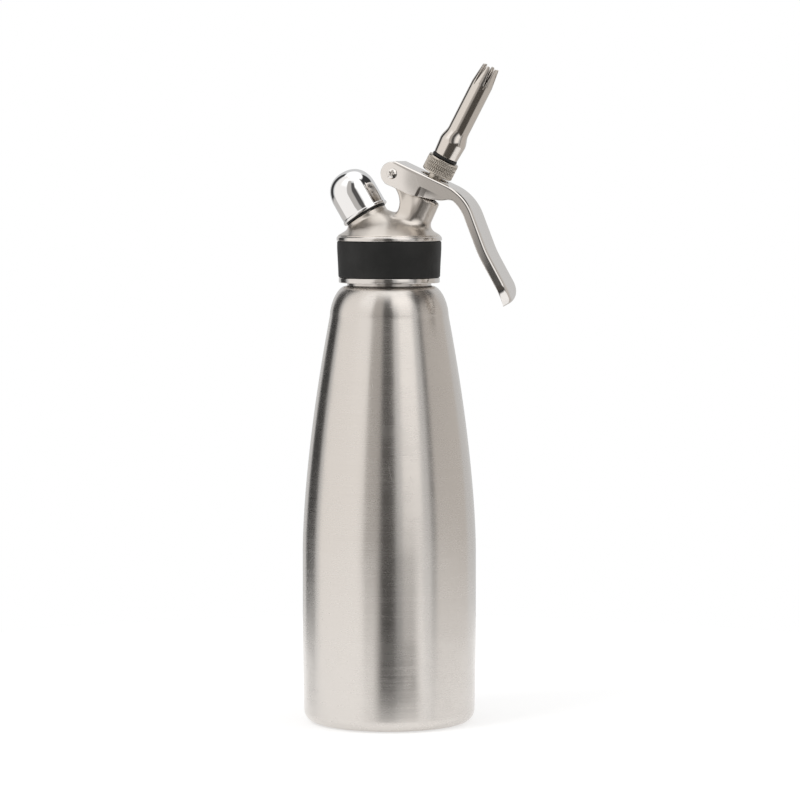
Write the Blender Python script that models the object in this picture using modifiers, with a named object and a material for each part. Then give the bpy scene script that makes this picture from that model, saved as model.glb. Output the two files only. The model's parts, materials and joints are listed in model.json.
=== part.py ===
"""Whipped cream dispenser: spun steel bottle, cast head with a grip band, lever, sprung dispensing valve,
decorator tip, and a charging valve under a screwed cap.

Metres, +Z up. The origin is the centre of the base, on the surface that the bottle stands on. The lever lies
in the XZ plane and reaches towards +X, and the whole object is symmetric about that plane.
"""

import math

import bmesh
import bpy
from mathutils import Matrix, Vector

# Values that several pieces share
GAP = 0.0003  # between pieces that touch on the real object
RUN = 0.00012  # round a pin that turns in its hole
OVERRUN = 0.002  # how far a cutter passes the face that it opens
ON_AXIS = 1e-6  # points nearer the axis than this are one point
WIDE_FACETS = 48
MIDDLE_FACETS = 32
SMALL_FACETS = 24
FINE_FACETS = 20
TIP_FACETS = 42  # a multiple of six that keeps each slot in the middle of a facet

# Bottle, spun from sheet
BODY_RADIUS = 0.0486
FOOT_RADIUS = 0.0480  # where the heel's curve ends
HEEL_RADIUS = 0.0065
STRAIGHT_TOP = 0.097  # where the body starts to draw in
STRAIGHT_START = 0.050
DRAW_TOP = 0.228
DRAW_RADIUS = 0.0332
DRAW_POWER = 1.6
BODY_HEIGHT = 0.2445
SHOULDER_RADIUS = 0.0246
SHOULDER_POWER = 1.7
NECK_RADIUS = 0.0242
NECK_HEIGHT = 0.0195
NECK_LIP = 0.0008  # rounding of the mouth's edge
BOTTLE_WALL = 0.0012

# Head seal, in the head, on the bottle's mouth
SEAL_THICKNESS = 0.0025
SEAL_INSET = 0.0013  # from the neck's outside
SEAL_WIDTH = 0.0022

# Head casting. Heights are above the face that the head seal bears on
SOCKET_CLEARANCE = 0.0008  # room for the thread
SKIRT_DEPTH = 0.0207
COLLAR_RADIUS = 0.0282
COLLAR_HEIGHT = 0.0028
RIM_RADIUS = 0.0294
RIM_BOTTOM = 0.0027
RIM_HEIGHT = 0.0022
RIM_ROUND = 0.0007
GROOVE_FLOOR = 0.0266
DOME_RISE = 0.0118
DOME_POWER = 1.5
CAVITY_RADIUS = 0.0215
CAVITY_HEIGHT = 0.0042

# Grip band, stretched over the skirt
BAND_TOP_RADIUS = 0.0291
BAND_BOTTOM_RADIUS = 0.0284
BAND_ROUND = 0.0010

# Dispensing axis: where the tower ends, and its lean towards the lever
TOWER_X = 0.0209
TOWER_RISE = 0.0272
TOWER_LEAN = math.radians(27.9)
TOWER_RADIUS = 0.0089
TOWER_CHAMFER = 0.0010
TOWER_TAPER_LENGTH = 0.0100
TOWER_WAIST = 0.0094
TOWER_FOOT_LENGTH = 0.0205
TOWER_FOOT = 0.0128
SPRING_BORE = 0.0066
SPRING_BORE_DEPTH = 0.0120
VALVE_SEAT_DEPTH = 0.0250
SPOTFACE_RADIUS = 0.0078

# Ear and web that carry the lever's pin
PIVOT_X = 0.0049
PIVOT_RISE = 0.0401
EAR_RADIUS = 0.0067
EAR_NECK = 0.0050  # radius under the lever's plate
EAR_HALF_WIDTH = 0.0093
WEB_HALF_WIDTH = 0.0080
WEB_ROUND = 0.0018
WEB_REAR_RADIUS = 0.0143
WEB_FOOT_X = 0.0041
WEB_FOOT_RISE = 0.0140
WEB_SIDE = 0.0094  # the web's front face from the dispensing axis

# Charging axis: where the cap's rim sits, and its lean away from the lever
CAP_X = 0.0133
CAP_RISE = 0.0168
CAP_LEAN = math.radians(30.9)
BOSS_RADIUS = 0.0116
BOSS_NECK_LENGTH = 0.0030
BOSS_FOOT = 0.0140
BOSS_FOOT_LENGTH = 0.0085
SPIGOT_RADIUS = 0.0082
SPIGOT_DEPTH = 0.0060
CHAMBER_RADIUS = 0.0054
CHAMBER_DEPTH = 0.0120
GAS_HOLE = 0.0018

# Protective cap
CAP_RADIUS = 0.0131
CAP_LIP_RADIUS = 0.0135
CAP_LIP_HEIGHT = 0.0016
CAP_STRAIGHT = 0.0135
CAP_DOME = 0.0139
CAP_DOME_POWER = 2.3
CAP_WALL = 0.0016
CAP_BORE = 0.0111
CAP_SEAL_THICKNESS = 0.0009

# Charging nipple, with the piercing pin, its seal and the one-way valve
NIPPLE_RADIUS = 0.0104
NIPPLE_HEIGHT = 0.0125
NIPPLE_EDGE = 0.0007
CUP_RADIUS = 0.0088
CUP_DEPTH = 0.0042
CHARGER_BORE = 0.0047
CHARGER_BORE_FLOOR = 0.0030
PIN_BASE_THICKNESS = 0.0015
NEEDLE_RADIUS = 0.0010
NEEDLE_HEIGHT = 0.0042
NEEDLE_POINT = 0.0018
CHARGER_SEAL_THICKNESS = 0.0014
CHARGER_SEAL_HOLE = 0.0019
POPPET_RADIUS = 0.0046
POPPET_THICKNESS = 0.0016
POPPET_STEM = 0.0011
POPPET_STEM_LENGTH = 0.0045
POPPET_TAIL = 0.0016
POPPET_TAIL_LENGTH = 0.0011
CHARGE_WIRE = 0.0006
CHARGE_COIL = 0.0026
CHARGE_TURNS = 4

# Lever, pressed from sheet. Lengths run along its top face from the foot of the pin's perpendicular
SHEET = 0.0015
LEVER_HALF_WIDTH = 0.01125
LEVER_FOLD = 0.0019  # outside radius of the folded edges
PLATE_SLOPE = math.radians(24.3)
PLATE_RISE = 0.0072  # from the pin's axis to the top face
PLATE_LENGTH = 0.0319
BEND_RADIUS = 0.0284
HANDLE_SLOPE = math.radians(68.6)
HANDLE_UPPER_LENGTH = 0.0180
FLARE_RADIUS = 0.060
FLARE_SLOPE = math.radians(60.6)
HANDLE_LOWER_LENGTH = 0.0150
END_LENGTH = 0.0107
FLANGE_DEPTH = 0.0056
END_DROP_SHARE = 0.85  # how far the top comes down to the flanges' edge at the rounded end
LUG_RADIUS = 0.0066
CHEEK_DEPTH = 0.0140
CHEEK_LENGTH_SHARES = (0.211, 0.381, 0.667, 1)  # places along the plate, between the pin and the bend
CHEEK_DEPTH_SHARES = (0.99, 1, 0.865, 0.66)  # how deep the cheeks are there
LUG_SHARES = (-0.99, -0.87, -0.64, -0.35)  # places behind the pin, of the lug's radius
LUG_EDGE = 0.0005  # outside radius of the fold where the top face has ended
PLATE_REAR = 0.0014  # where the top face starts, behind the pin's perpendicular
SLOT_LENGTH = 0.0168
SLOT_WIDTH = 0.0130
BEND_STATIONS = 8
CHEEK_FADE_STATIONS = 3  # of the bend's, where the cheeks narrow into the handle's flanges
CHEEK_FADE_POWER = 1.3
FLARE_STATIONS = 4
END_STATIONS = 7
FOLD_STATIONS = 4

# Lever pin and its clip
PIN_RADIUS = 0.0025
PIN_HEAD_RADIUS = 0.0034
PIN_HEAD_HEIGHT = 0.0012
PIN_DIMPLE_RADIUS = 0.0019
PIN_DIMPLE_DEPTH = 0.0009
PIN_TAIL = 0.0024
PIN_GROOVE_DEPTH = 0.0005
CLIP_THICKNESS = 0.0008
CLIP_RADIUS = 0.0042
CLIP_MOUTH = 0.0030

# Valve stem. Lengths run along the dispensing axis from the tower's top face
STEM_RADIUS = 0.0040
STEM_BORE = 0.0026
STEM_TOP_PAST_ADAPTER = 0.0020
STEM_BORE_FLOOR = 0.0240
PORT_RADIUS = 0.0015
PORT_DEPTH = 0.0222
GUIDE_CLEARANCE = 0.0003
VALVE_TRAVEL = 0.0039
PRESS_COLLAR_RADIUS = 0.00825
PRESS_COLLAR_EDGE = 0.0022
PRESS_COLLAR_DOME = 0.018
FOOT_THREAD_LENGTH = 0.0064
SEAT_SEAL_RADIUS = 0.0066
SEAT_SEAL_THICKNESS = 0.0020
FOOT_NUT_RADIUS = 0.0068
FOOT_NUT_THICKNESS = 0.0028
NUT_SIDES = 6
GUIDE_LENGTH = 0.0030
O_RING_WIRE = 0.0011
O_RING_DEPTH = 0.0180
SPRING_WIRE = 0.0010
SPRING_COIL = 0.0053
SPRING_TURNS = 6

# Tip adapter, tip gasket and decorator tip
ADAPTER_GAP = 0.0020  # between the lever's plate and the knurled ring
ADAPTER_RADIUS = 0.0088
ADAPTER_HEIGHT = 0.0091
ADAPTER_EDGE = 0.0004
ADAPTER_SPIGOT = 0.0056
ADAPTER_SPIGOT_HEIGHT = 0.0068
TIP_GASKET_RADIUS = 0.00725
TIP_GASKET_THICKNESS = 0.0014
TIP_BASE_RADIUS = 0.0070
TIP_BULGE_RADIUS = 0.0076
TIP_BULGE_LENGTH = 0.0085
TIP_SHOULDER_LENGTH = 0.0075
TIP_TUBE_RADIUS = 0.0060
TIP_TUBE_LENGTH = 0.0285
TIP_LENGTH = 0.0555
TIP_END_RADIUS = 0.0047
TIP_WALL = 0.0010
TIP_SLOT_LENGTH = 0.0125
TIP_SLOT_HALF_WIDTH = 0.0015
TIP_SLOTS = 6
TIP_THREAD_DEPTH = 0.0080

# Places that follow from the sizes
NECK_TOP = BODY_HEIGHT + NECK_HEIGHT
HEAD_SEAT = NECK_TOP + SEAL_THICKNESS + 2 * GAP
PLATE_DOWN = Vector((math.cos(PLATE_SLOPE), -math.sin(PLATE_SLOPE)))
PLATE_UP = Vector((math.sin(PLATE_SLOPE), math.cos(PLATE_SLOPE)))
STEM_OUT = Vector((math.sin(TOWER_LEAN), math.cos(TOWER_LEAN)))
TOWER_FROM_PIVOT = Vector((TOWER_X - PIVOT_X, TOWER_RISE - PIVOT_RISE))
# Along the dispensing axis from the tower's top to the lever's top face
PLATE_ON_AXIS = (PLATE_RISE - TOWER_FROM_PIVOT.dot(PLATE_UP)) / STEM_OUT.dot(PLATE_UP)
PLATE_UNDERSIDE = PLATE_ON_AXIS - SHEET / STEM_OUT.dot(PLATE_UP)
SLOT_STATION = (TOWER_FROM_PIVOT + STEM_OUT * PLATE_ON_AXIS).dot(PLATE_DOWN)
ADAPTER_BOTTOM = PLATE_ON_AXIS + ADAPTER_GAP
ADAPTER_TOP = ADAPTER_BOTTOM + ADAPTER_HEIGHT
TIP_BOTTOM = ADAPTER_TOP + TIP_GASKET_THICKNESS + 2 * GAP


def empty_scene():
    for thing in list(bpy.data.objects):
        bpy.data.objects.remove(thing, do_unlink=True)


def collection(name):
    made = bpy.data.collections.new(name)
    bpy.context.scene.collection.children.link(made)
    return made


empty_scene()
PIECES = collection("cream_dispenser")
CUTTERS = collection("cutters")


def material(name, colour, roughness, metallic):
    made = bpy.data.materials.new(name)
    made.use_nodes = True
    shader = made.node_tree.nodes["Principled BSDF"]
    shader.inputs["Base Color"].default_value = (*colour, 1)
    shader.inputs["Roughness"].default_value = roughness
    shader.inputs["Metallic"].default_value = metallic
    return made


BRUSHED = material("brushed_stainless", (0.62, 0.60, 0.57), 0.34, 1)
CAST = material("satin_casting", (0.66, 0.64, 0.61), 0.38, 1)
POLISHED = material("polished_steel", (0.74, 0.72, 0.69), 0.12, 1)
CHROME = material("chrome", (0.85, 0.85, 0.85), 0.04, 1)
KNURLED = material("knurled_nickel", (0.60, 0.57, 0.52), 0.40, 1)
SILICONE = material("charcoal_silicone", (0.030, 0.030, 0.029), 0.60, 0)
RUBBER = material("black_rubber", (0.015, 0.015, 0.015), 0.50, 0)
PLASTIC = material("white_plastic", (0.75, 0.75, 0.72), 0.45, 0)
SPRING_STEEL = material("spring_steel", (0.55, 0.55, 0.56), 0.25, 1)


def frame_at(name, x, z, lean, parent=None):
    """An empty whose Z axis is an axis of the object: it leans towards +X by the angle."""
    made = bpy.data.objects.new(name, None)
    PIECES.objects.link(made)
    made.parent = parent
    made.location = (x, 0, z)
    made.rotation_euler = (0, lean, 0)
    return made


HEAD = frame_at("head_axis", 0, HEAD_SEAT, 0)
DISPENSE = frame_at("dispensing_axis", TOWER_X, TOWER_RISE, TOWER_LEAN, HEAD)
CHARGE = frame_at("charging_axis", -CAP_X, CAP_RISE, -CAP_LEAN, HEAD)
PIVOT = frame_at("lever_pivot", PIVOT_X, PIVOT_RISE, 0, HEAD)


def place(name, mesh, parent, finish, helper=False):
    """An object for the mesh. A helper cuts or joins another piece and isn't a piece itself."""
    made = bpy.data.objects.new(name, mesh)
    (CUTTERS if helper else PIECES).objects.link(made)
    made.parent = parent
    made.hide_render = helper
    if helper:
        made.display_type = "WIRE"
    if finish:
        mesh.materials.append(finish)
    return made


def smooth(thing, angle=math.radians(30)):
    thing.data.shade_smooth()
    thing.data.set_sharp_from_angle(angle=angle)
    return thing


def turned(name, profile, facets, parent=None, finish=None, ring=False, helper=False):
    """A profile of (radius, height), running down the outer side, turned about Z. A ring's profile closes."""
    mesh = bpy.data.meshes.new(name)
    edges = [(i, i + 1) for i in range(len(profile) - 1)]
    if ring:
        edges.append((len(profile) - 1, 0))
    mesh.from_pydata([(radius, 0, height) for radius, height in profile], edges, [])
    made = place(name, mesh, parent, finish, helper)
    screw = made.modifiers.new("turn", "SCREW")
    screw.steps = screw.render_steps = facets
    screw.use_merge_vertices = True
    screw.merge_threshold = ON_AXIS
    screw.use_smooth_shade = True
    return made


def cylinder(name, radius, low, high, facets, parent=None, finish=None, helper=True):
    profile = [(0, high), (radius, high), (radius, low), (0, low)]
    return turned(name, profile, facets, parent, finish, helper=helper)


def cut(piece, cutter):
    step = piece.modifiers.new("cut_" + cutter.name, "BOOLEAN")
    step.operation = "DIFFERENCE"
    step.solver = "EXACT"
    step.object = cutter


def join(piece, other):
    step = piece.modifiers.new("join_" + other.name, "BOOLEAN")
    step.operation = "UNION"
    step.solver = "EXACT"
    step.object = other


def arc(centre, radius, start, end, points, squash=1):
    """Points of an arc from one angle to another, both included."""
    turn = [start + (end - start) * i / (points - 1) for i in range(points)]
    return [(centre[0] + radius * math.cos(a), centre[1] + radius * squash * math.sin(a)) for a in turn]


def plate(name, outline, half_width, parent=None, finish=None, edge=0, helper=True):
    """An outline in the XZ plane, thickened both ways along Y, with its edges rounded by the given radius."""
    curve = bpy.data.curves.new(name, "CURVE")
    curve.dimensions = "2D"
    curve.fill_mode = "BOTH"
    curve.extrude = half_width
    spline = curve.splines.new("POLY")
    spline.points.add(len(outline) - 1)
    for point, (x, z) in zip(spline.points, outline):
        point.co = (x, z, 0, 1)
    spline.use_cyclic_u = True
    drawn = bpy.data.objects.new(name + "_outline", curve)
    CUTTERS.objects.link(drawn)
    bpy.context.view_layer.update()
    graph = bpy.context.evaluated_depsgraph_get()
    mesh = bpy.data.meshes.new_from_object(drawn.evaluated_get(graph))
    mesh.transform(Matrix.Rotation(math.radians(90), 4, "X") @ drawn.matrix_world)
    solid = bmesh.new()
    solid.from_mesh(mesh)
    bmesh.ops.remove_doubles(solid, verts=solid.verts, dist=ON_AXIS)
    bmesh.ops.recalc_face_normals(solid, faces=solid.faces)
    solid.to_mesh(mesh)
    solid.free()
    bpy.data.objects.remove(drawn)
    made = place(name, mesh, parent, finish, helper)
    if edge:
        rounding = made.modifiers.new("edges", "BEVEL")
        rounding.width = edge
        rounding.segments = 2
        rounding.limit_method = "ANGLE"
        rounding.angle_limit = math.radians(60)
    return made


def coil(name, wire, mean_radius, low, high, turns, parent, finish, points_a_turn=9):
    """A spring of round wire between two heights, as one tube on a helix."""
    curve = bpy.data.curves.new(name, "CURVE")
    curve.dimensions = "3D"
    curve.bevel_depth = wire / 2
    curve.bevel_resolution = 1
    curve.use_fill_caps = True
    spline = curve.splines.new("POLY")
    count = turns * points_a_turn + 1
    spline.points.add(count - 1)
    climb = high - low - wire
    for i, point in enumerate(spline.points):
        angle = 2 * math.pi * i / points_a_turn
        height = low + wire / 2 + climb * i / (count - 1)
        point.co = (mean_radius * math.cos(angle), mean_radius * math.sin(angle), height, 1)
    curve.materials.append(finish)
    made = bpy.data.objects.new(name, curve)
    PIECES.objects.link(made)
    made.parent = parent
    return made


# Bottle
def body_radius(height, inset=0):
    """The body's outside radius above the straight part, less an inset."""
    share = max(0, height - STRAIGHT_TOP) / (DRAW_TOP - STRAIGHT_TOP)
    return BODY_RADIUS - inset - (BODY_RADIUS - DRAW_RADIUS) * share**DRAW_POWER


def bottle():
    def side(inset, heel_points, draw_points, shoulder_points):
        """The bottle's side from the neck down to the heel, moved in by the inset."""
        rise, reach = BODY_HEIGHT - inset - DRAW_TOP, DRAW_RADIUS - SHOULDER_RADIUS
        turns = [math.pi / 2 * (1 - i / (shoulder_points - 1)) for i in range(shoulder_points)]
        share = 2 / SHOULDER_POWER
        shoulder = [(SHOULDER_RADIUS - inset + reach * abs(math.cos(a)) ** share,
                     DRAW_TOP + rise * math.sin(a) ** share) for a in turns]
        span = DRAW_TOP - STRAIGHT_TOP
        heights = [DRAW_TOP - span * i / draw_points for i in range(1, draw_points + 1)]
        draw = [(body_radius(height, inset), height) for height in heights]
        heel = arc((FOOT_RADIUS - HEEL_RADIUS, HEEL_RADIUS), HEEL_RADIUS - inset, 0, -math.pi / 2, heel_points)
        return shoulder + draw + [(BODY_RADIUS - inset, STRAIGHT_START)] + heel

    neck_bore = NECK_RADIUS - BOTTLE_WALL
    lip = arc((NECK_RADIUS - NECK_LIP, NECK_TOP - NECK_LIP), NECK_LIP, math.pi / 2, 0, 3)
    outside = lip + [(NECK_RADIUS, BODY_HEIGHT)] + side(0, 5, 7, 6) + [(0, 0)]
    inside = [(neck_bore, NECK_TOP)] + side(BOTTLE_WALL, 4, 5, 4) + [(0, BOTTLE_WALL)]
    made = turned("bottle", list(reversed(inside)) + outside, WIDE_FACETS, None, BRUSHED)
    print("bottle height", NECK_TOP, "mouth bore", 2 * neck_bore)
    return smooth(made)


def head_seal():
    outer = NECK_RADIUS - SEAL_INSET + SEAL_WIDTH / 2
    inner = outer - SEAL_WIDTH
    top, bottom = -GAP, -GAP - SEAL_THICKNESS
    profile = [(outer, top), (outer, bottom), (inner, bottom), (inner, top)]
    return turned("head_seal", profile, MIDDLE_FACETS, HEAD, RUBBER, ring=True)


# Head casting
RIM_TOP = RIM_BOTTOM + RIM_HEIGHT
SKIRT_BOTTOM = -SKIRT_DEPTH
COLLAR_TOP = SKIRT_BOTTOM + COLLAR_HEIGHT
SOCKET_RADIUS = NECK_RADIUS + SOCKET_CLEARANCE


def dome_height(radius):
    return RIM_TOP + RIM_ROUND + DOME_RISE * (1 - (radius / (RIM_RADIUS - RIM_ROUND)) ** DOME_POWER)


def collar_and_dome():
    """The casting's turned body, still solid inside."""
    dome_shares = (0, 0.3, 0.55, 0.8, 1)
    edge = RIM_RADIUS - RIM_ROUND
    dome = [(edge * share, dome_height(edge * share)) for share in dome_shares]
    profile = dome + [
        (RIM_RADIUS, RIM_TOP),
        (RIM_RADIUS, RIM_BOTTOM),
        (GROOVE_FLOOR, RIM_BOTTOM),
        (GROOVE_FLOOR, COLLAR_TOP),
        (COLLAR_RADIUS, COLLAR_TOP),
        (COLLAR_RADIUS, SKIRT_BOTTOM),
        (0, SKIRT_BOTTOM),
    ]
    return turned("head_casting", profile, WIDE_FACETS, HEAD, CAST)


def tower():
    """The leaning tower, with a foot that swells into the dome."""
    flare = arc(
        (TOWER_FOOT, -TOWER_TAPER_LENGTH), TOWER_FOOT - TOWER_WAIST, math.pi, 1.5 * math.pi, 4,
        (TOWER_FOOT_LENGTH - TOWER_TAPER_LENGTH) / (TOWER_FOOT - TOWER_WAIST))
    profile = [(0, 0), (TOWER_RADIUS - TOWER_CHAMFER, 0), (TOWER_RADIUS, -TOWER_CHAMFER)] + flare
    profile.append((0, -TOWER_FOOT_LENGTH))
    return turned("tower", profile, MIDDLE_FACETS, DISPENSE, helper=True)


def circle_through(start, end, radius, points):
    """An arc of the given radius from start to end, bulging to the left of that direction."""
    start, end = Vector(start), Vector(end)
    chord = end - start
    across = Vector((-chord.y, chord.x)).normalized()
    centre = (start + end) / 2 - across * math.sqrt(max(0, radius**2 - chord.length_squared / 4))
    first = math.atan2(start.y - centre.y, start.x - centre.x)
    sweep = 2 * math.asin(min(1, chord.length / (2 * radius)))
    return arc(centre, radius, first, first - sweep, points)


def web():
    """The web that rises from the tower and the dome to the pin, in the pin's frame."""
    stop = math.radians(82)
    rear_stop = math.radians(265)
    crown = arc((0, 0), EAR_NECK, math.radians(-15), stop, 6)
    ear = arc((0, 0), EAR_RADIUS, stop, rear_stop, 9)
    foot = (WEB_FOOT_X - PIVOT_X, WEB_FOOT_RISE - PIVOT_RISE)
    rear = circle_through(ear[-1], foot, WEB_REAR_RADIUS, 7)
    across = Vector((-STEM_OUT.y, STEM_OUT.x))
    tower_side = TOWER_FROM_PIVOT + across * WEB_SIDE
    under = TOWER_FROM_PIVOT - STEM_OUT * TOWER_TAPER_LENGTH
    front = [(under.x, foot[1]), tuple(under), tuple(TOWER_FROM_PIVOT + across * TOWER_RADIUS / 2
             - STEM_OUT * TOWER_CHAMFER), tuple(tower_side)]
    outline = crown + ear + rear[1:] + front
    return plate("web", outline, WEB_HALF_WIDTH, PIVOT, edge=WEB_ROUND)


def head_casting():
    made = collar_and_dome()
    join(made, tower())
    join(made, web())
    boss_foot = (BOSS_FOOT, -BOSS_FOOT_LENGTH)
    boss_profile = [(0, -GAP), (BOSS_RADIUS, -GAP), (BOSS_RADIUS, -BOSS_NECK_LENGTH), boss_foot,
                    (0, -BOSS_FOOT_LENGTH)]
    join(made, turned("charging_boss", boss_profile, MIDDLE_FACETS, CHARGE, helper=True))
    join(made, across_pin("ear_boss", EAR_NECK, EAR_HALF_WIDTH, SMALL_FACETS))
    socket = [(0, CAVITY_HEIGHT), (CAVITY_RADIUS, CAVITY_HEIGHT), (CAVITY_RADIUS, 0), (SOCKET_RADIUS, 0),
              (SOCKET_RADIUS, SKIRT_BOTTOM - OVERRUN), (0, SKIRT_BOTTOM - OVERRUN)]
    cut(made, turned("socket", socket, WIDE_FACETS, HEAD, helper=True))
    stem_hole = STEM_RADIUS + GUIDE_CLEARANCE
    groove = stem_hole + O_RING_WIRE
    groove_top, groove_bottom = O_RING_WIRE / 2 + GAP - O_RING_DEPTH, -O_RING_WIRE / 2 - GAP - O_RING_DEPTH
    past = -VALVE_SEAT_DEPTH - FOOT_THREAD_LENGTH
    bore = [(0, OVERRUN), (SPRING_BORE, OVERRUN), (SPRING_BORE, -SPRING_BORE_DEPTH),
            (stem_hole, -SPRING_BORE_DEPTH), (stem_hole, groove_top), (groove, groove_top),
            (groove, groove_bottom), (stem_hole, groove_bottom), (stem_hole, -VALVE_SEAT_DEPTH),
            (SPOTFACE_RADIUS, -VALVE_SEAT_DEPTH), (SPOTFACE_RADIUS, past), (0, past)]
    cut(made, turned("stem_bore", bore, SMALL_FACETS, DISPENSE, helper=True))
    inlet = [(0, OVERRUN), (SPIGOT_RADIUS + GAP, OVERRUN), (SPIGOT_RADIUS + GAP, -SPIGOT_DEPTH - GAP),
             (CHAMBER_RADIUS, -SPIGOT_DEPTH - GAP), (CHAMBER_RADIUS, -CHAMBER_DEPTH),
             (GAS_HOLE, -CHAMBER_DEPTH), (GAS_HOLE, -CHAMBER_DEPTH - CAVITY_RADIUS / 2),
             (0, -CHAMBER_DEPTH - CAVITY_RADIUS / 2)]
    cut(made, turned("charging_bore", inlet, SMALL_FACETS, CHARGE, helper=True))
    cut(made, across_pin("ear_bore", PIN_RADIUS + RUN, EAR_HALF_WIDTH + OVERRUN, FINE_FACETS))
    return made


def across_pin(name, radius, half_length, facets):
    """A helper cylinder along the lever pin's axis."""
    made = cylinder(name, radius, -half_length, half_length, facets, PIVOT)
    made.rotation_euler = (math.radians(90), 0, 0)
    return made


def grip_band():
    top, bottom = RIM_BOTTOM - GAP, COLLAR_TOP + GAP
    inner = GROOVE_FLOOR + GAP
    profile = [
        (inner, top),
        (BAND_TOP_RADIUS - BAND_ROUND / 2, top),
        (BAND_TOP_RADIUS, top - BAND_ROUND / 2),
        (BAND_BOTTOM_RADIUS, bottom + BAND_ROUND),
        (BAND_BOTTOM_RADIUS - BAND_ROUND, bottom),
        (inner, bottom),
    ]
    return turned("grip_band", profile, WIDE_FACETS, HEAD, SILICONE, ring=True)


# Charging side
def protective_cap():
    low = GAP + CAP_SEAL_THICKNESS

    def crown(radius, rise, points):
        """A blunt dome over the cap's straight side."""
        angles = [math.pi / 2 * (1 - i / (points - 1)) for i in range(points)]
        share = 2 / CAP_DOME_POWER
        return [(radius * abs(math.cos(a)) ** share if i else 0, CAP_STRAIGHT + rise * math.sin(a) ** share)
                for i, a in enumerate(angles)]

    outside = crown(CAP_RADIUS, CAP_DOME, 8) + [(CAP_RADIUS, low + CAP_LIP_HEIGHT),
                                                (CAP_LIP_RADIUS, low + CAP_LIP_HEIGHT / 2),
                                                (CAP_LIP_RADIUS, low), (CAP_BORE, low)]
    inside = crown(CAP_BORE, CAP_DOME - CAP_WALL, 6)
    return turned("protective_cap", outside + list(reversed(inside)), MIDDLE_FACETS, CHARGE, CHROME)


def cap_seal():
    outer, inner = BOSS_RADIUS + GAP, NIPPLE_RADIUS + GAP
    top, bottom = CAP_SEAL_THICKNESS, 0
    profile = [(outer, top), (outer, bottom), (inner, bottom), (inner, top)]
    return turned("cap_seal", profile, MIDDLE_FACETS, CHARGE, RUBBER, ring=True)


def charging_nipple():
    profile = [
        (CUP_RADIUS, NIPPLE_HEIGHT),
        (NIPPLE_RADIUS - NIPPLE_EDGE, NIPPLE_HEIGHT),
        (NIPPLE_RADIUS, NIPPLE_HEIGHT - NIPPLE_EDGE),
        (NIPPLE_RADIUS, 0),
        (SPIGOT_RADIUS, 0),
        (SPIGOT_RADIUS, -SPIGOT_DEPTH),
        (POPPET_STEM + GAP, -SPIGOT_DEPTH),
        (POPPET_STEM + GAP, CHARGER_BORE_FLOOR),
        (CHARGER_BORE, CHARGER_BORE_FLOOR),
        (CHARGER_BORE, NIPPLE_HEIGHT - CUP_DEPTH),
    ]
    return turned("charging_nipple", profile, MIDDLE_FACETS, CHARGE, POLISHED, ring=True)


def piercing_pin():
    low = CHARGER_BORE_FLOOR + GAP
    base = low + PIN_BASE_THICKNESS
    tip = base + NEEDLE_HEIGHT
    wide = CHARGER_BORE - GAP
    profile = [(0, tip), (NEEDLE_RADIUS, tip - NEEDLE_POINT), (NEEDLE_RADIUS, base), (wide, base), (wide, low),
               (0, low)]
    made = turned("piercing_pin", profile, FINE_FACETS, CHARGE, SPRING_STEEL)
    for side in (-1, 1):
        vent = cylinder("gas_vent", NEEDLE_RADIUS / 2, low - OVERRUN, base + OVERRUN, FINE_FACETS, CHARGE)
        vent.location = (0, side * (NEEDLE_RADIUS + wide) / 2, 0)
        cut(made, vent)
    return made


def charger_seal():
    low = CHARGER_BORE_FLOOR + PIN_BASE_THICKNESS + 2 * GAP
    high = low + CHARGER_SEAL_THICKNESS
    outer = CHARGER_BORE - GAP
    profile = [(outer, high), (outer, low), (CHARGER_SEAL_HOLE, low), (CHARGER_SEAL_HOLE, high)]
    return turned("charger_seal", profile, FINE_FACETS, CHARGE, RUBBER, ring=True)


POPPET_TOP = -SPIGOT_DEPTH - GAP
POPPET_BOTTOM = POPPET_TOP - POPPET_THICKNESS


def charge_poppet():
    top, bottom, tail = POPPET_TOP, POPPET_BOTTOM, POPPET_BOTTOM - POPPET_TAIL_LENGTH
    profile = [(0, top + POPPET_STEM_LENGTH), (POPPET_STEM, top + POPPET_STEM_LENGTH), (POPPET_STEM, top),
               (POPPET_RADIUS, top), (POPPET_RADIUS, bottom), (POPPET_TAIL, bottom), (POPPET_TAIL, tail),
               (0, tail)]
    return turned("charge_poppet", profile, FINE_FACETS, CHARGE, RUBBER)


def charge_spring():
    low, high = -CHAMBER_DEPTH + GAP, POPPET_BOTTOM - GAP
    return coil("charge_spring", CHARGE_WIRE, CHARGE_COIL, low, high, CHARGE_TURNS, CHARGE, SPRING_STEEL)


# Lever
def lug_half(along):
    """Half the lug's height at a place along the plate."""
    return math.sqrt(max(0, LUG_RADIUS**2 - along**2))


def flange_depth_in_bend(station):
    left = (1 - min(1, station / CHEEK_FADE_STATIONS)) ** CHEEK_FADE_POWER
    return FLANGE_DEPTH + (CHEEK_DEPTH * CHEEK_DEPTH_SHARES[-1] - FLANGE_DEPTH) * left


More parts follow.
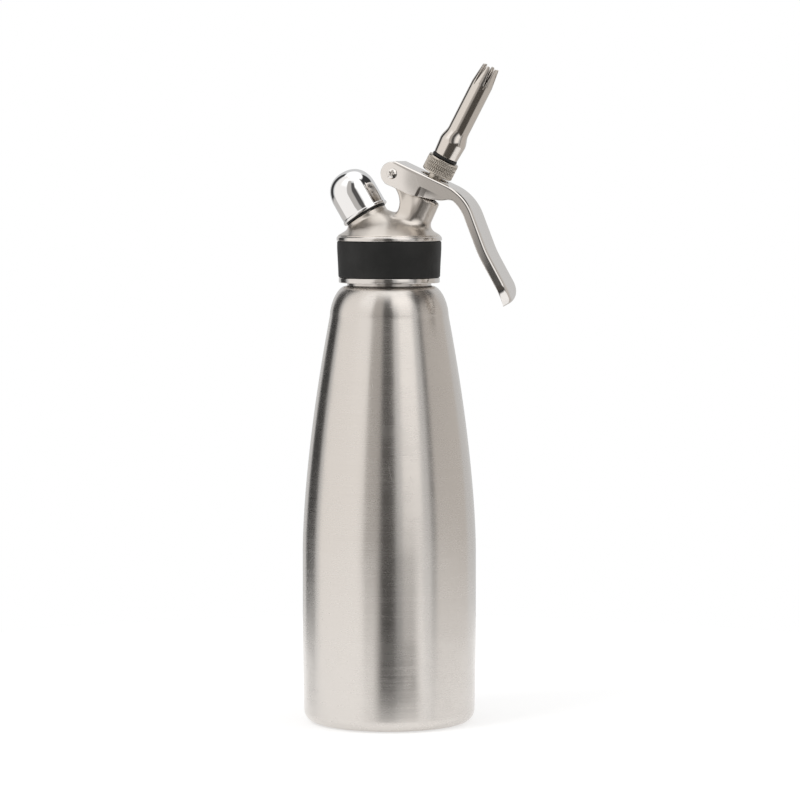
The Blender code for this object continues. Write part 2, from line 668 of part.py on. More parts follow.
def lever_stations():
    """Stations along the lever, each with its place on the top face's line, slope, top, fold and lower edge.

    The top and the lower edge are distances down from that line, square to it.
    """
    start = PLATE_UP * PLATE_RISE
    stations = []

    def add(point, slope, top, fold, low):
        stations.append((point, slope, top, fold, low))

    def on_plate(along, top, fold, low):
        add(start + PLATE_DOWN * along, PLATE_SLOPE, top, fold, low)

    for share in LUG_SHARES:
        along = share * LUG_RADIUS
        on_plate(along, PLATE_RISE - lug_half(along), LUG_EDGE, PLATE_RISE + lug_half(along))
    for along in (-PLATE_REAR, 0, PLATE_REAR):
        on_plate(along, 0, LEVER_FOLD, PLATE_RISE + lug_half(along))
    for share, depth_share in zip(CHEEK_LENGTH_SHARES, CHEEK_DEPTH_SHARES):
        on_plate(PLATE_LENGTH * share, 0, LEVER_FOLD, CHEEK_DEPTH * depth_share)

    def turn(radius, slope_to, count, depth_at):
        """Adds a bend of the given radius, which turns down if the slope grows and up if it falls."""
        point, slope = stations[-1][:2]
        side = 1 if slope_to > slope else -1
        centre = point - Vector((math.sin(slope), math.cos(slope))) * radius * side
        for i in range(1, count + 1):
            now = slope + (slope_to - slope) * i / count
            on_arc = centre + Vector((math.sin(now), math.cos(now))) * radius * side
            add(on_arc, now, 0, LEVER_FOLD, depth_at(i))

    def straight(length):
        point, slope = stations[-1][:2]
        ahead = Vector((math.cos(slope), -math.sin(slope)))
        add(point + ahead * length, slope, 0, LEVER_FOLD, FLANGE_DEPTH)

    turn(BEND_RADIUS, HANDLE_SLOPE, BEND_STATIONS, flange_depth_in_bend)
    straight(HANDLE_UPPER_LENGTH)
    turn(FLARE_RADIUS, FLARE_SLOPE, FLARE_STATIONS, lambda i: FLANGE_DEPTH)
    straight(HANDLE_LOWER_LENGTH)
    return stations


def rounded_end(inset):
    """The end's stations: (place on the top face's line, slope, share of the width that is left)."""
    point, slope = lever_stations()[-1][:2]
    ahead = Vector((math.cos(slope), -math.sin(slope)))
    for i in range(1, END_STATIONS + 1):
        along = math.sin(math.pi / 2 * i / END_STATIONS * (1 - 1 / (4 * END_STATIONS)))
        yield point + ahead * (END_LENGTH - inset) * along, slope, math.sqrt(1 - along**2)


def loft(name, sections):
    """A closed skin over U sections: (place, slope, half width, top, fold, lower edge), all in the pin's frame."""
    solid = bmesh.new()
    loops = []
    for point, slope, wide, top, fold, low in sections:
        inward = Vector((-math.sin(slope), -math.cos(slope)))
        corner = arc((wide - fold, top + fold), fold, 0, -math.pi / 2, FOLD_STATIONS)
        half_section = [(wide, low)] + corner
        section = half_section + [(-y, down) for y, down in reversed(half_section)]
        places = [(point + inward * down, y) for y, down in section]
        loops.append([solid.verts.new((place.x, y, place.y)) for place, y in places])
    for first, second in zip(loops, loops[1:]):
        for i in range(len(first)):
            j = (i + 1) % len(first)
            solid.faces.new((first[i], first[j], second[j], second[i]))
    solid.faces.new(list(reversed(loops[0])))
    solid.faces.new(loops[-1])
    bmesh.ops.recalc_face_normals(solid, faces=solid.faces)
    bmesh.ops.triangulate(solid, faces=solid.faces)
    mesh = bpy.data.meshes.new(name)
    solid.to_mesh(mesh)
    solid.free()
    return mesh


def lever_skin():
    """The lever's outside, still filled."""
    sections = [(point, slope, LEVER_HALF_WIDTH, top, fold, low)
                for point, slope, top, fold, low in lever_stations()]
    for point, slope, left in rounded_end(0):
        top = FLANGE_DEPTH * (1 - left) * END_DROP_SHARE
        sections.append((point, slope, LEVER_HALF_WIDTH * left, top, LEVER_FOLD * left, FLANGE_DEPTH))
    return loft("lever", sections)


def lever_hollow():
    """The room inside the sheet. Behind the top face's start it also opens upwards, for the ear."""
    half, fold = LEVER_HALF_WIDTH - SHEET, LEVER_FOLD - SHEET
    sections = []
    start = PLATE_UP * PLATE_RISE
    behind = LUG_RADIUS + OVERRUN
    deep = CHEEK_DEPTH + OVERRUN
    for along, top in ((-behind, -OVERRUN), (-PLATE_REAR - GAP, -OVERRUN), (-PLATE_REAR, SHEET), (0, SHEET)):
        sections.append((start + PLATE_DOWN * along, PLATE_SLOPE, half, top, fold, deep))
    for point, slope, top, _, low in lever_stations()[len(LUG_SHARES) + 2:]:
        sections.append((point, slope, half, SHEET, fold, low + OVERRUN))
    for point, slope, left in rounded_end(SHEET):
        top = SHEET + (FLANGE_DEPTH - SHEET) * (1 - left) * END_DROP_SHARE
        sections.append((point, slope, half * left, top, fold * left, FLANGE_DEPTH + OVERRUN))
    return loft("lever_hollow", sections)


def lever():
    made = place("lever", lever_skin(), PIVOT, POLISHED)
    cut(made, stem_slot())
    cut(made, across_pin("lever_pin_hole", PIN_RADIUS + RUN, LEVER_HALF_WIDTH + OVERRUN, FINE_FACETS))
    cut(made, place("lever_hollow", lever_hollow(), PIVOT, None, True))
    return smooth(made, math.radians(35))


def stem_slot():
    """The long hole in the plate that the stem passes, square to the plate."""
    straight = (SLOT_LENGTH - SLOT_WIDTH) / 2
    outline = arc((straight, 0), SLOT_WIDTH / 2, -math.pi / 2, math.pi / 2, 9)
    outline += arc((-straight, 0), SLOT_WIDTH / 2, math.pi / 2, 1.5 * math.pi, 9)
    made = plate("stem_slot", outline, SHEET + OVERRUN, PIVOT)
    where = PLATE_UP * PLATE_RISE + PLATE_DOWN * SLOT_STATION
    made.location = (where.x, 0, where.y)
    made.rotation_euler = Matrix.Rotation(PLATE_SLOPE, 3, "Y").to_euler()
    made.data.transform(Matrix.Rotation(math.radians(-90), 4, "X"))
    return made


def lever_pin():
    half = LEVER_HALF_WIDTH + GAP
    groove = half + CLIP_THICKNESS + 2 * GAP
    thin = PIN_RADIUS - PIN_GROOVE_DEPTH
    profile = [
        (0, half + PIN_HEAD_HEIGHT - PIN_DIMPLE_DEPTH),
        (PIN_DIMPLE_RADIUS / 2, half + PIN_HEAD_HEIGHT - PIN_DIMPLE_DEPTH),
        (PIN_DIMPLE_RADIUS, half + PIN_HEAD_HEIGHT),
        ((PIN_DIMPLE_RADIUS + PIN_HEAD_RADIUS) / 2, half + PIN_HEAD_HEIGHT),
        (PIN_HEAD_RADIUS, half + PIN_HEAD_HEIGHT / 2),
        (PIN_HEAD_RADIUS, half),
        (PIN_RADIUS, half),
        (PIN_RADIUS, -half),
        (thin, -half),
        (thin, -groove),
        (PIN_RADIUS, -groove),
        (PIN_RADIUS, -half - PIN_TAIL),
        (0, -half - PIN_TAIL),
    ]
    made = turned("lever_pin", profile, FINE_FACETS, PIVOT, POLISHED)
    made.rotation_euler = (math.radians(90), 0, 0)
    return made


def pin_clip():
    low = LEVER_HALF_WIDTH + 2 * GAP
    inner = PIN_RADIUS - PIN_GROOVE_DEPTH + RUN
    profile = [(CLIP_RADIUS, -low), (CLIP_RADIUS, -low - CLIP_THICKNESS), (inner, -low - CLIP_THICKNESS),
               (inner, -low)]
    made = turned("pin_clip", profile, FINE_FACETS, PIVOT, SPRING_STEEL, ring=True)
    made.rotation_euler = (math.radians(90), 0, 0)
    mouth = [(0, -CLIP_MOUTH / 2), (CLIP_RADIUS + OVERRUN, -CLIP_MOUTH / 2),
             (CLIP_RADIUS + OVERRUN, CLIP_MOUTH / 2), (0, CLIP_MOUTH / 2)]
    cut(made, plate("clip_mouth", mouth, low + CLIP_THICKNESS + OVERRUN, PIVOT))
    return made


# Dispensing side
COLLAR_CREST = PLATE_UNDERSIDE - GAP
STEM_TOP = ADAPTER_TOP + STEM_TOP_PAST_ADAPTER


def press_collar():
    """The domed collar that the lever's plate bears on: its height at the hole's edge meets the plate."""
    hole = SLOT_WIDTH / 2

    def height(radius):
        return COLLAR_CREST - (radius**2 - hole**2) / (2 * PRESS_COLLAR_DOME)

    radii = [STEM_RADIUS, hole, PRESS_COLLAR_RADIUS]
    bottom = height(PRESS_COLLAR_RADIUS) - PRESS_COLLAR_EDGE
    return [(radius, height(radius)) for radius in radii] + [(PRESS_COLLAR_RADIUS, bottom), (STEM_RADIUS, bottom)]


def valve_stem():
    bottom = -VALVE_SEAT_DEPTH - FOOT_THREAD_LENGTH
    bore = [(0, -STEM_BORE_FLOOR), (STEM_BORE, -STEM_BORE_FLOOR), (STEM_BORE, STEM_TOP)]
    outside = [(STEM_RADIUS, STEM_TOP)] + press_collar() + [(STEM_RADIUS, bottom), (0, bottom)]
    made = turned("valve_stem", bore + outside, SMALL_FACETS, DISPENSE, POLISHED)
    port = cylinder("stem_port", PORT_RADIUS, -STEM_RADIUS - OVERRUN, STEM_RADIUS + OVERRUN, FINE_FACETS,
                    DISPENSE)
    port.location = (0, 0, -PORT_DEPTH)
    port.rotation_euler = (math.radians(90), 0, 0)
    cut(made, port)
    return made


def stem_ring(name, outer, inner, low, high, finish, facets=SMALL_FACETS):
    profile = [(outer, high), (outer, low), (inner, low), (inner, high)]
    return turned(name, profile, facets, DISPENSE, finish, ring=True)


SEAT_SEAL_TOP = -VALVE_SEAT_DEPTH - GAP
FOOT_NUT_TOP = SEAT_SEAL_TOP - SEAT_SEAL_THICKNESS - GAP
GUIDE_BOTTOM = -SPRING_BORE_DEPTH + GAP


def seat_seal():
    inner = STEM_RADIUS + GAP
    return stem_ring("seat_seal", SEAT_SEAL_RADIUS, inner, SEAT_SEAL_TOP - SEAT_SEAL_THICKNESS, SEAT_SEAL_TOP,
                     RUBBER)


def foot_nut():
    low, high = FOOT_NUT_TOP - FOOT_NUT_THICKNESS, FOOT_NUT_TOP
    made = cylinder("foot_nut", FOOT_NUT_RADIUS, low, high, NUT_SIDES, DISPENSE, POLISHED, helper=False)
    bore = cylinder("foot_nut_bore", STEM_RADIUS + GAP, low - OVERRUN, high + OVERRUN, SMALL_FACETS, DISPENSE)
    cut(made, bore)
    return made


def stem_guide():
    inner = STEM_RADIUS + GAP
    return stem_ring("stem_guide", SPRING_BORE - GAP, inner, GUIDE_BOTTOM, GUIDE_BOTTOM + GUIDE_LENGTH, PLASTIC)


def stem_o_ring():
    wire = O_RING_WIRE / 2
    centre = (STEM_RADIUS + GUIDE_CLEARANCE / 2 + wire, -O_RING_DEPTH)
    section = arc(centre, wire, 0, -2 * math.pi * (1 - 1 / 8), 8)
    return turned("stem_o_ring", section, SMALL_FACETS, DISPENSE, RUBBER, ring=True)


def valve_spring():
    low = GUIDE_BOTTOM + GUIDE_LENGTH + GAP
    high = press_collar()[-1][1] - GAP
    return coil("valve_spring", SPRING_WIRE, SPRING_COIL, low, high, SPRING_TURNS, DISPENSE, SPRING_STEEL)


def tip_adapter():
    inner = STEM_RADIUS + GAP
    top = ADAPTER_TOP + ADAPTER_SPIGOT_HEIGHT
    profile = [
        (inner, top),
        (ADAPTER_SPIGOT - ADAPTER_EDGE, top),
        (ADAPTER_SPIGOT, top - ADAPTER_EDGE),
        (ADAPTER_SPIGOT, ADAPTER_TOP),
        (ADAPTER_RADIUS - ADAPTER_EDGE, ADAPTER_TOP),
        (ADAPTER_RADIUS, ADAPTER_TOP - ADAPTER_EDGE),
        (ADAPTER_RADIUS, ADAPTER_BOTTOM + ADAPTER_EDGE),
        (ADAPTER_RADIUS - ADAPTER_EDGE, ADAPTER_BOTTOM),
        (inner, ADAPTER_BOTTOM),
    ]
    return turned("tip_adapter", profile, MIDDLE_FACETS, DISPENSE, KNURLED, ring=True)


def tip_gasket():
    low = ADAPTER_TOP + GAP
    return stem_ring("tip_gasket", TIP_GASKET_RADIUS, ADAPTER_SPIGOT + GAP, low, low + TIP_GASKET_THICKNESS,
                     RUBBER, MIDDLE_FACETS)


def decorator_tip():
    low = TIP_BOTTOM
    bulge = low + TIP_BULGE_LENGTH
    shoulder = bulge + TIP_SHOULDER_LENGTH
    tube = shoulder + TIP_TUBE_LENGTH
    end = low + TIP_LENGTH
    step = TIP_BULGE_RADIUS - TIP_TUBE_RADIUS

    def side(inset):
        """Down the tip from its end to its base, moved in by the inset."""
        ease = [(TIP_TUBE_RADIUS - inset + step * (1 - math.cos(math.pi * i / 4)) / 2,
                 shoulder - (shoulder - bulge) * i / 4) for i in range(5)]
        return [(TIP_END_RADIUS - inset, end), (TIP_TUBE_RADIUS - inset, tube)] + ease

    thread = ADAPTER_SPIGOT + GAP
    inside = list(reversed(side(TIP_WALL)))
    profile = side(0) + [(TIP_BASE_RADIUS, low), (thread, low), (thread, low + TIP_THREAD_DEPTH)]
    profile += inside[1:]
    made = turned("decorator_tip", profile, TIP_FACETS, DISPENSE, POLISHED, ring=True)
    past = end + OVERRUN
    wide = TIP_SLOT_HALF_WIDTH * (TIP_SLOT_LENGTH + OVERRUN) / TIP_SLOT_LENGTH
    wedge = [(-wide, past), (wide, past), (0, end - TIP_SLOT_LENGTH)]
    for i in range(TIP_SLOTS // 2):
        slot = plate("tip_slot_" + str(i), wedge, TIP_TUBE_RADIUS + OVERRUN, DISPENSE)
        slot.rotation_euler = (0, 0, 2 * math.pi * i / TIP_SLOTS)
        cut(made, slot)
    return made


bottle()
head_seal()
head_casting()
grip_band()
charging_nipple()
piercing_pin()
charger_seal()
charge_poppet()
charge_spring()
cap_seal()
protective_cap()
lever()
lever_pin()
pin_clip()
valve_stem()
seat_seal()
foot_nut()
stem_guide()
stem_o_ring()
valve_spring()
tip_adapter()
tip_gasket()
decorator_tip()
bpy.context.view_layer.update()
print("tip end at", DISPENSE.matrix_world @ Vector((0, 0, TIP_BOTTOM + TIP_LENGTH)))
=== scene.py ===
# %% [markdown]
# # A whipped cream dispenser in brushed steel
#
# The bottle, the head, the lever and the nozzle are dressed here, on top of the plain solids that carry the
# sizes. Every length is in metres. The bottle stands on the floor at the origin, and the lever reaches
# towards +X.

# %% Start from an empty scene and bring in the solids
import json
import math

import bmesh
import bpy
import numpy as np
from mathutils import Matrix, Vector

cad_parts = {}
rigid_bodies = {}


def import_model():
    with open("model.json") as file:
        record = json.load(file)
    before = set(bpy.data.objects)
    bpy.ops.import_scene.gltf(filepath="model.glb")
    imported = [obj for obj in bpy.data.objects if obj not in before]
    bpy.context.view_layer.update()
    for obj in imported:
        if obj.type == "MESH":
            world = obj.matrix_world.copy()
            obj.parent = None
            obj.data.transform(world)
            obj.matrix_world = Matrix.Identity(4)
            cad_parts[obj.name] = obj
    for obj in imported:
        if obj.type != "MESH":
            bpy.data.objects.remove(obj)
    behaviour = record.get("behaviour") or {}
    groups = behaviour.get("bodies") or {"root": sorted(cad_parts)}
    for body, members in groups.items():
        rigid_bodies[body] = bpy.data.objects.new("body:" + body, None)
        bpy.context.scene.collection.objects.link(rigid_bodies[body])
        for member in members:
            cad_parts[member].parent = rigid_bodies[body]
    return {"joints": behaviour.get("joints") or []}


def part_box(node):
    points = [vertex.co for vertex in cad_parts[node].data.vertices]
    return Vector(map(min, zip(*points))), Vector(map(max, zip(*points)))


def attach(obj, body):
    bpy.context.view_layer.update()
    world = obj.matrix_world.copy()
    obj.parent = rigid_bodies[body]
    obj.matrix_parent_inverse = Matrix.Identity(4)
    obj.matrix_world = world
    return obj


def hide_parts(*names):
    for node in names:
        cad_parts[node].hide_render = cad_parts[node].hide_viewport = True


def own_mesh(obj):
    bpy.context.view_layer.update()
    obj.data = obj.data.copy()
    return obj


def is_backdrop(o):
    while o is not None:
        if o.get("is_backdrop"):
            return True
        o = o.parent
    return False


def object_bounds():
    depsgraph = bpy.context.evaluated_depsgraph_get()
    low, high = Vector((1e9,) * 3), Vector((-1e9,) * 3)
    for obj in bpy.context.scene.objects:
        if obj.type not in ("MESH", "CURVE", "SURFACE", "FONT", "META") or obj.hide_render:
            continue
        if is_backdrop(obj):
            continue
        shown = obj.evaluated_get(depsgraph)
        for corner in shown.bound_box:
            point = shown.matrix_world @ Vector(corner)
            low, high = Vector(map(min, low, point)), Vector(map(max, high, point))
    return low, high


for leftover in list(bpy.data.objects):
    bpy.data.objects.remove(leftover, do_unlink=True)

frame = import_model()
solids_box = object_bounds()
JOINTS = {joint["name"]: joint for joint in frame["joints"]}
print("solids span", [round(c, 4) for corner in solids_box for c in corner])

# %% [markdown]
# ## Where things are
#
# Three axes organise the head: the bottle's own, the slanted one that the cream leaves along, and the one
# that the gas comes in by. The joints of the solid model already hold them, so they are read from there and
# not typed again.


# %% Read the axes from the joints
def slanted(origin, axis):
    """A matrix at the origin whose Z runs along the axis, and whose Y stays the object's Y."""
    z = Vector(axis).normalized()
    y = Vector((0, 1, 0))
    x = y.cross(z).normalized()
    turn = Matrix((x, y, z)).transposed().to_4x4()
    return Matrix.Translation(origin) @ turn


PLAY = 0.0003  # left between pieces that touch in the real tool
NECK_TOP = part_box("bottle")[1].z
HEAD_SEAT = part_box("head_seal")[1].z + PLAY
HEAD = Matrix.Translation((0, 0, HEAD_SEAT))
PIVOT_AT = Vector(JOINTS["lever_press"]["pos_m"])
PIVOT = Matrix.Translation(PIVOT_AT)
# The tip's hinge stands 24 mm out from the face of the head's tower
TOWER_TO_HINGE = 0.024
spout_axis = Vector(JOINTS["tip_unscrew"]["axis"]).normalized()
SPOUT = slanted(Vector(JOINTS["tip_unscrew"]["pos_m"]) - spout_axis * TOWER_TO_HINGE, spout_axis)
GAS = slanted(JOINTS["cap_unscrew"]["pos_m"], JOINTS["cap_unscrew"]["axis"])
print("spout leans", round(math.degrees(spout_axis.angle((0, 0, 1))), 1), "degrees")

# %% [markdown]
# ## The camera
#
# A long lens from about two metres keeps the bottle's sides nearly parallel, as in a shop's product
# photograph. It looks a little down, and a little round from the front, so that the near cheek of the lever
# shows.

# %% Place the camera
CAMERA_DISTANCE = 1.95
CAMERA_ROUND = math.radians(17)
CAMERA_DOWN = math.radians(3.9)
VIEW_WIDTH = 0.448  # how much of the world the picture spans at the object
AIM_RIGHT = 0.0060
AIM_HEIGHT = 0.1806
SENSOR = 36

picture_right = Vector((math.cos(CAMERA_ROUND), math.sin(CAMERA_ROUND), 0))
to_camera = Vector((
    math.sin(CAMERA_ROUND) * math.cos(CAMERA_DOWN),
    -math.cos(CAMERA_ROUND) * math.cos(CAMERA_DOWN),
    math.sin(CAMERA_DOWN),
))
camera = bpy.data.objects.new("camera", bpy.data.cameras.new("camera"))
bpy.context.scene.collection.objects.link(camera)
camera.location = picture_right * AIM_RIGHT + Vector((0, 0, AIM_HEIGHT)) + to_camera * CAMERA_DISTANCE
camera.rotation_euler = (-to_camera).to_track_quat("-Z", "Y").to_euler()
camera.data.sensor_width = SENSOR
camera.data.lens = SENSOR * CAMERA_DISTANCE / VIEW_WIDTH
bpy.context.scene.camera = camera
bpy.context.scene.view_settings.view_transform = "Standard"
print("lens", round(camera.data.lens), "mm")

# %% [markdown]
# ## Nodes without the bookkeeping
#
# A material is a graph. A small helper that adds a node, sets its inputs and links what is already a socket
# keeps each finish below short enough to read as a recipe.


# %% A helper that builds node graphs
class Graph:
    """Adds nodes to a tree. An input's value may be a number, a colour or another node's output."""

    def __init__(self, tree):
        self.tree = tree

    def feed(self, socket, value):
        if isinstance(value, bpy.types.NodeSocket):
            self.tree.links.new(value, socket)
        else:
            socket.default_value = value

    def add(self, kind, inputs=None, **settings):
        node = self.tree.nodes.new(kind)
        for name, value in settings.items():
            setattr(node, name, value)
        for key, value in (inputs or {}).items():
            self.feed(node.inputs[key], value)
        return node

    def math(self, operation, first, second=0.0):
        return self.add("ShaderNodeMath", {0: first, 1: second}, operation=operation).outputs[0]

    def plus(self, first, second):
        return self.math("ADD", first, second)

    def minus(self, first, second):
        return self.math("SUBTRACT", first, second)

    def times(self, first, second):
        return self.math("MULTIPLY", first, second)

    def larger(self, first, second):
        return self.math("MAXIMUM", first, second)

    def remap(self, value, low, high):
        """A mask that is 0 up to low and 1 from high on."""
        inputs = {"Value": value, "From Min": low, "From Max": high}
        return self.add("ShaderNodeMapRange", inputs).outputs["Result"]

    def mix(self, factor, first, second):
        node = self.add("ShaderNodeMix", data_type="RGBA")
        for key, value in (("Factor", factor), ("A", first), ("B", second)):
            fits = [s for s in node.inputs if s.name == key and (key == "Factor" or s.type == "RGBA")]
            self.feed(fits[0], value)
        return [s for s in node.outputs if s.type == "RGBA"][0]

    def place(self):
        return self.add("ShaderNodeTexCoord").outputs["Object"]

    def vector(self, **parts):
        return self.add("ShaderNodeCombineXYZ", parts).outputs[0]

    def stretched(self, where, scale):
        return self.add("ShaderNodeVectorMath", {0: where, 1: scale}, operation="MULTIPLY").outputs[0]

    def noise(self, where, scale, detail, roughness):
        inputs = {"Vector": where, "Scale": scale, "Detail": detail, "Roughness": roughness}
        return self.add("ShaderNodeTexNoise", inputs).outputs["Fac"]

    def bumped(self, height, strength, distance, below=None):
        inputs = {"Height": height, "Strength": strength, "Distance": distance}
        if below is not None:
            inputs["Normal"] = below
        return self.add("ShaderNodeBump", inputs).outputs["Normal"]

    def group(self, tree, **numbers):
        node = self.add("ShaderNodeGroup", node_tree=tree)
        for label, value in numbers.items():
            node.inputs[label].default_value = value
        return node.outputs


print("the node helper knows", len([name for name in dir(Graph) if name[0] != "_"]), "steps")

# %% [markdown]
# ## Effects that several finishes share
#
# Wear, painted shade in hollows, scratches and grain are each built once, as a node group with named numbers
# going in and named masks coming out. A finish then places the group with its own numbers.


# %% Tools for groups and colours
def new_group(name, numbers, masks):
    """A shader node group with named numbers going in and named masks coming out, and the graph inside it."""
    tree = bpy.data.node_groups.new(name, "ShaderNodeTree")
    for label, default in numbers.items():
        socket = tree.interface.new_socket(label, in_out="INPUT", socket_type="NodeSocketFloat")
        socket.default_value = default
    for label in masks:
        tree.interface.new_socket(label, in_out="OUTPUT", socket_type="NodeSocketFloat")
    graph = Graph(tree)
    given = graph.add("NodeGroupInput").outputs
    gives = graph.add("NodeGroupOutput").inputs
    return graph, given, gives


def grey(level, warmth=0.0):
    """A neutral colour, with a little more red and less blue as warmth grows."""
    return (level * (1 + warmth), level, level * (1 - warmth), 1)


def tinted(colour, share, lift=0.0):
    """The colour at a share of its strength, with some white added."""
    return tuple(min(1, c * share + lift) for c in colour[:3]) + (1,)


print("a warm grey is", grey(0.5, 0.05))

# %% [markdown]
# ## Brush lines
#
# The bottle is brushed while it spins, so fine lines run round it. Noise that is squeezed along the axis and
# left long round it gives such lines without any image. The same group brushes the cast head and the tip,
# each with its own values.

# %% The brush line group
graph, given, gives = new_group("brush_lines", {"Fineness": 900.0, "Depth": 1.0}, ("Lines", "Patches"))
where = graph.place()
across = graph.vector(X=14.0, Y=14.0, Z=given["Fineness"])
fine = graph.noise(graph.stretched(where, across), 1.0, 3.0, 0.7)
wide_across = graph.vector(X=5.0, Y=5.0, Z=160.0)
wide = graph.noise(graph.stretched(where, wide_across), 1.0, 2.0, 0.6)
both = graph.plus(graph.times(fine, 0.8), graph.times(wide, 0.2))
centred = graph.minus(both, 0.5)
graph.feed(gives["Lines"], graph.plus(graph.times(centred, given["Depth"]), 0.5))
graph.feed(gives["Patches"], graph.noise(where, 22.0, 3.0, 0.6))
BRUSH = graph.tree
print("brush group has", len(BRUSH.nodes), "nodes")

# %% [markdown]
# ## Handling marks
#
# Polished metal that has been used is never even: there are hairline scratches in every direction, and a
# faint cloudiness where fingers have wiped it. Both are masks between 0 and 1, which a material adds to its
# roughness.

# %% The handling group
HAIRLINE_TILTS = (0.4, 1.7, 2.6)  # radians, one for each direction that scratches run in
TILT_AXIS = (0.5, 0.6, 0.62)
HAIRLINE_STRETCH = (2600.0, 90.0, 90.0)
graph, given, gives = new_group("handling", {"Size": 60.0}, ("Clouds", "Scratches"))
where = graph.place()
graph.feed(gives["Clouds"], graph.remap(graph.noise(where, given["Size"], 4.0, 0.6), 0.35, 0.75))
scratches = None
for tilt in HAIRLINE_TILTS:
    tilted = graph.add("ShaderNodeVectorRotate", {"Vector": where, "Angle": tilt}, rotation_type="AXIS_ANGLE")
    tilted.inputs["Axis"].default_value = TILT_AXIS
    hair = graph.noise(graph.stretched(tilted.outputs[0], HAIRLINE_STRETCH), 1.0, 1.0, 0.4)
    line = graph.remap(hair, 0.76, 0.81)
    scratches = line if scratches is None else graph.larger(scratches, line)
graph.feed(gives["Scratches"], scratches)
HANDLING = graph.tree
print("handling group has", len(HANDLING.nodes), "nodes")

# %% [markdown]
# ## Worn edges and painted shade in hollows
#
# Corners of metal are rubbed brighter and smoother than the faces, and the hollows are painted darker, as
# shade. Pointiness tells the two apart on a mesh with enough vertices.

# %% The edge group
graph, given, gives = new_group("edges", {"Sharpness": 0.06}, ("Worn", "Painted_shade"))
pointiness = graph.add("ShaderNodeNewGeometry").outputs["Pointiness"]
breakup = graph.noise(graph.place(), 350.0, 3.0, 0.6)
uneven = graph.plus(pointiness, graph.times(graph.minus(breakup, 0.5), 0.03))
upper = graph.plus(0.5, given["Sharpness"])
graph.feed(gives["Worn"], graph.remap(uneven, 0.51, upper))
# Painted shade: low pointiness marks the hollows, which a finish then paints darker
lower = graph.minus(0.5, given["Sharpness"])
graph.feed(gives["Painted_shade"], graph.remap(uneven, 0.49, lower))
EDGES = graph.tree
print("edge group has", len(EDGES.nodes), "nodes")

# %% [markdown]
# ## Moulded grain
#
# Silicone and rubber come out of a mould with a fine matt grain, and they hold a little dust.

# %% The moulded grain group
graph, given, gives = new_group("moulded_grain", {"Fineness": 2600.0}, ("Grain", "Dust"))
where = graph.place()
graph.feed(gives["Grain"], graph.noise(where, given["Fineness"], 2.0, 0.6))
specks = graph.remap(graph.noise(where, 900.0, 2.0, 0.5), 0.66, 0.74)
drift = graph.remap(graph.noise(where, 45.0, 3.0, 0.6), 0.45, 0.75)
graph.feed(gives["Dust"], graph.times(specks, drift))
MOULDED = graph.tree
print("grain group has", len(MOULDED.nodes), "nodes")

# %% [markdown]
# ## Steel, in several finishes
#
# Every steel part shares one recipe: a warm grey reflects, the roughness wanders with handling, hollows are
# painted a little darker as shade, rubbed corners are a little brighter, and brush lines or hairlines lift
# the surface by microns.


# %% Metal materials
def principled(name):
    """A new material and its graph, with the shader ready to be fed."""
    made = bpy.data.materials.new(name)
    made.use_nodes = True
    tree = made.node_tree
    return made, Graph(tree), tree.nodes["Principled BSDF"].inputs


def brushed(graph, shader, brush, handled, colour, level, tint):
    """Adds brush lines round the piece's own Z axis to a steel's roughness, colour and height."""
    fineness, depth, anisotropy = brush
    lines = graph.group(BRUSH, Fineness=fineness, Depth=depth)
    spread = graph.times(graph.minus(lines["Lines"], 0.5), 0.15)
    level = graph.plus(level, spread)
    level = graph.plus(level, graph.times(graph.minus(lines["Patches"], 0.5), 0.03))
    streak = graph.remap(lines["Lines"], 0.25, 0.75)
    tint = graph.mix(graph.times(graph.minus(1.0, streak), 0.3), tint, tinted(colour, 0.88))
    height = graph.minus(lines["Lines"], graph.times(handled["Scratches"], 0.6))
    graph.feed(shader["Anisotropic"], anisotropy)
    graph.feed(shader["Anisotropic Rotation"], 0.25)
    around = graph.add("ShaderNodeTangent", direction_type="RADIAL", axis="Z").outputs[0]
    graph.feed(shader["Tangent"], around)
    return level, tint, height


def metal(name, colour, roughness, bump, brush=None, clouds=0.06, scratch=0.08, waves=0.0, bow=None):
    """Steel. brush gives (fineness, depth, anisotropy), and bow gives (middle along X, rise)."""
    made, graph, shader = principled(name)
    colour = colour + (1,)
    handled = graph.group(HANDLING, Size=70.0)
    edges = graph.group(EDGES, Sharpness=0.05)
    level = graph.plus(roughness, graph.times(handled["Clouds"], clouds))
    level = graph.plus(level, graph.times(handled["Scratches"], scratch))
    level = graph.minus(level, graph.times(edges["Worn"], 0.06))
    # Painted shade: the colour is darkened in the hollows, where shade falls
    tint = graph.mix(graph.times(edges["Painted_shade"], 0.7), colour, tinted(colour, 0.74))
    tint = graph.mix(graph.times(edges["Worn"], 0.6), tint, tinted(colour, 1.10))
    height = handled["Scratches"]
    if brush:
        level, tint, height = brushed(graph, shader, brush, handled, colour, level, tint)
    graph.feed(shader["Metallic"], 1.0)
    graph.feed(shader["Base Color"], tint)
    graph.feed(shader["Roughness"], graph.larger(level, 0.02))
    below = None
    if waves:
        # Sheet that was pressed and then polished is never quite flat, and its reflections drift
        below = graph.bumped(graph.noise(graph.place(), 30.0, 1.0, 0.4), 1.0, waves)
    if bow:
        # The cheeks of a pressed part spring outwards a little, so reflections drift along their length
        middle, rise = bow
        reach = graph.add("ShaderNodeSeparateXYZ", {"Vector": graph.place()}).outputs["X"]
        reach = graph.minus(reach, middle)
        below = graph.bumped(graph.times(reach, graph.times(reach, -1.0)), 1.0, rise, below)
    graph.feed(shader["Normal"], graph.bumped(height, 0.6, bump, below))
    return made


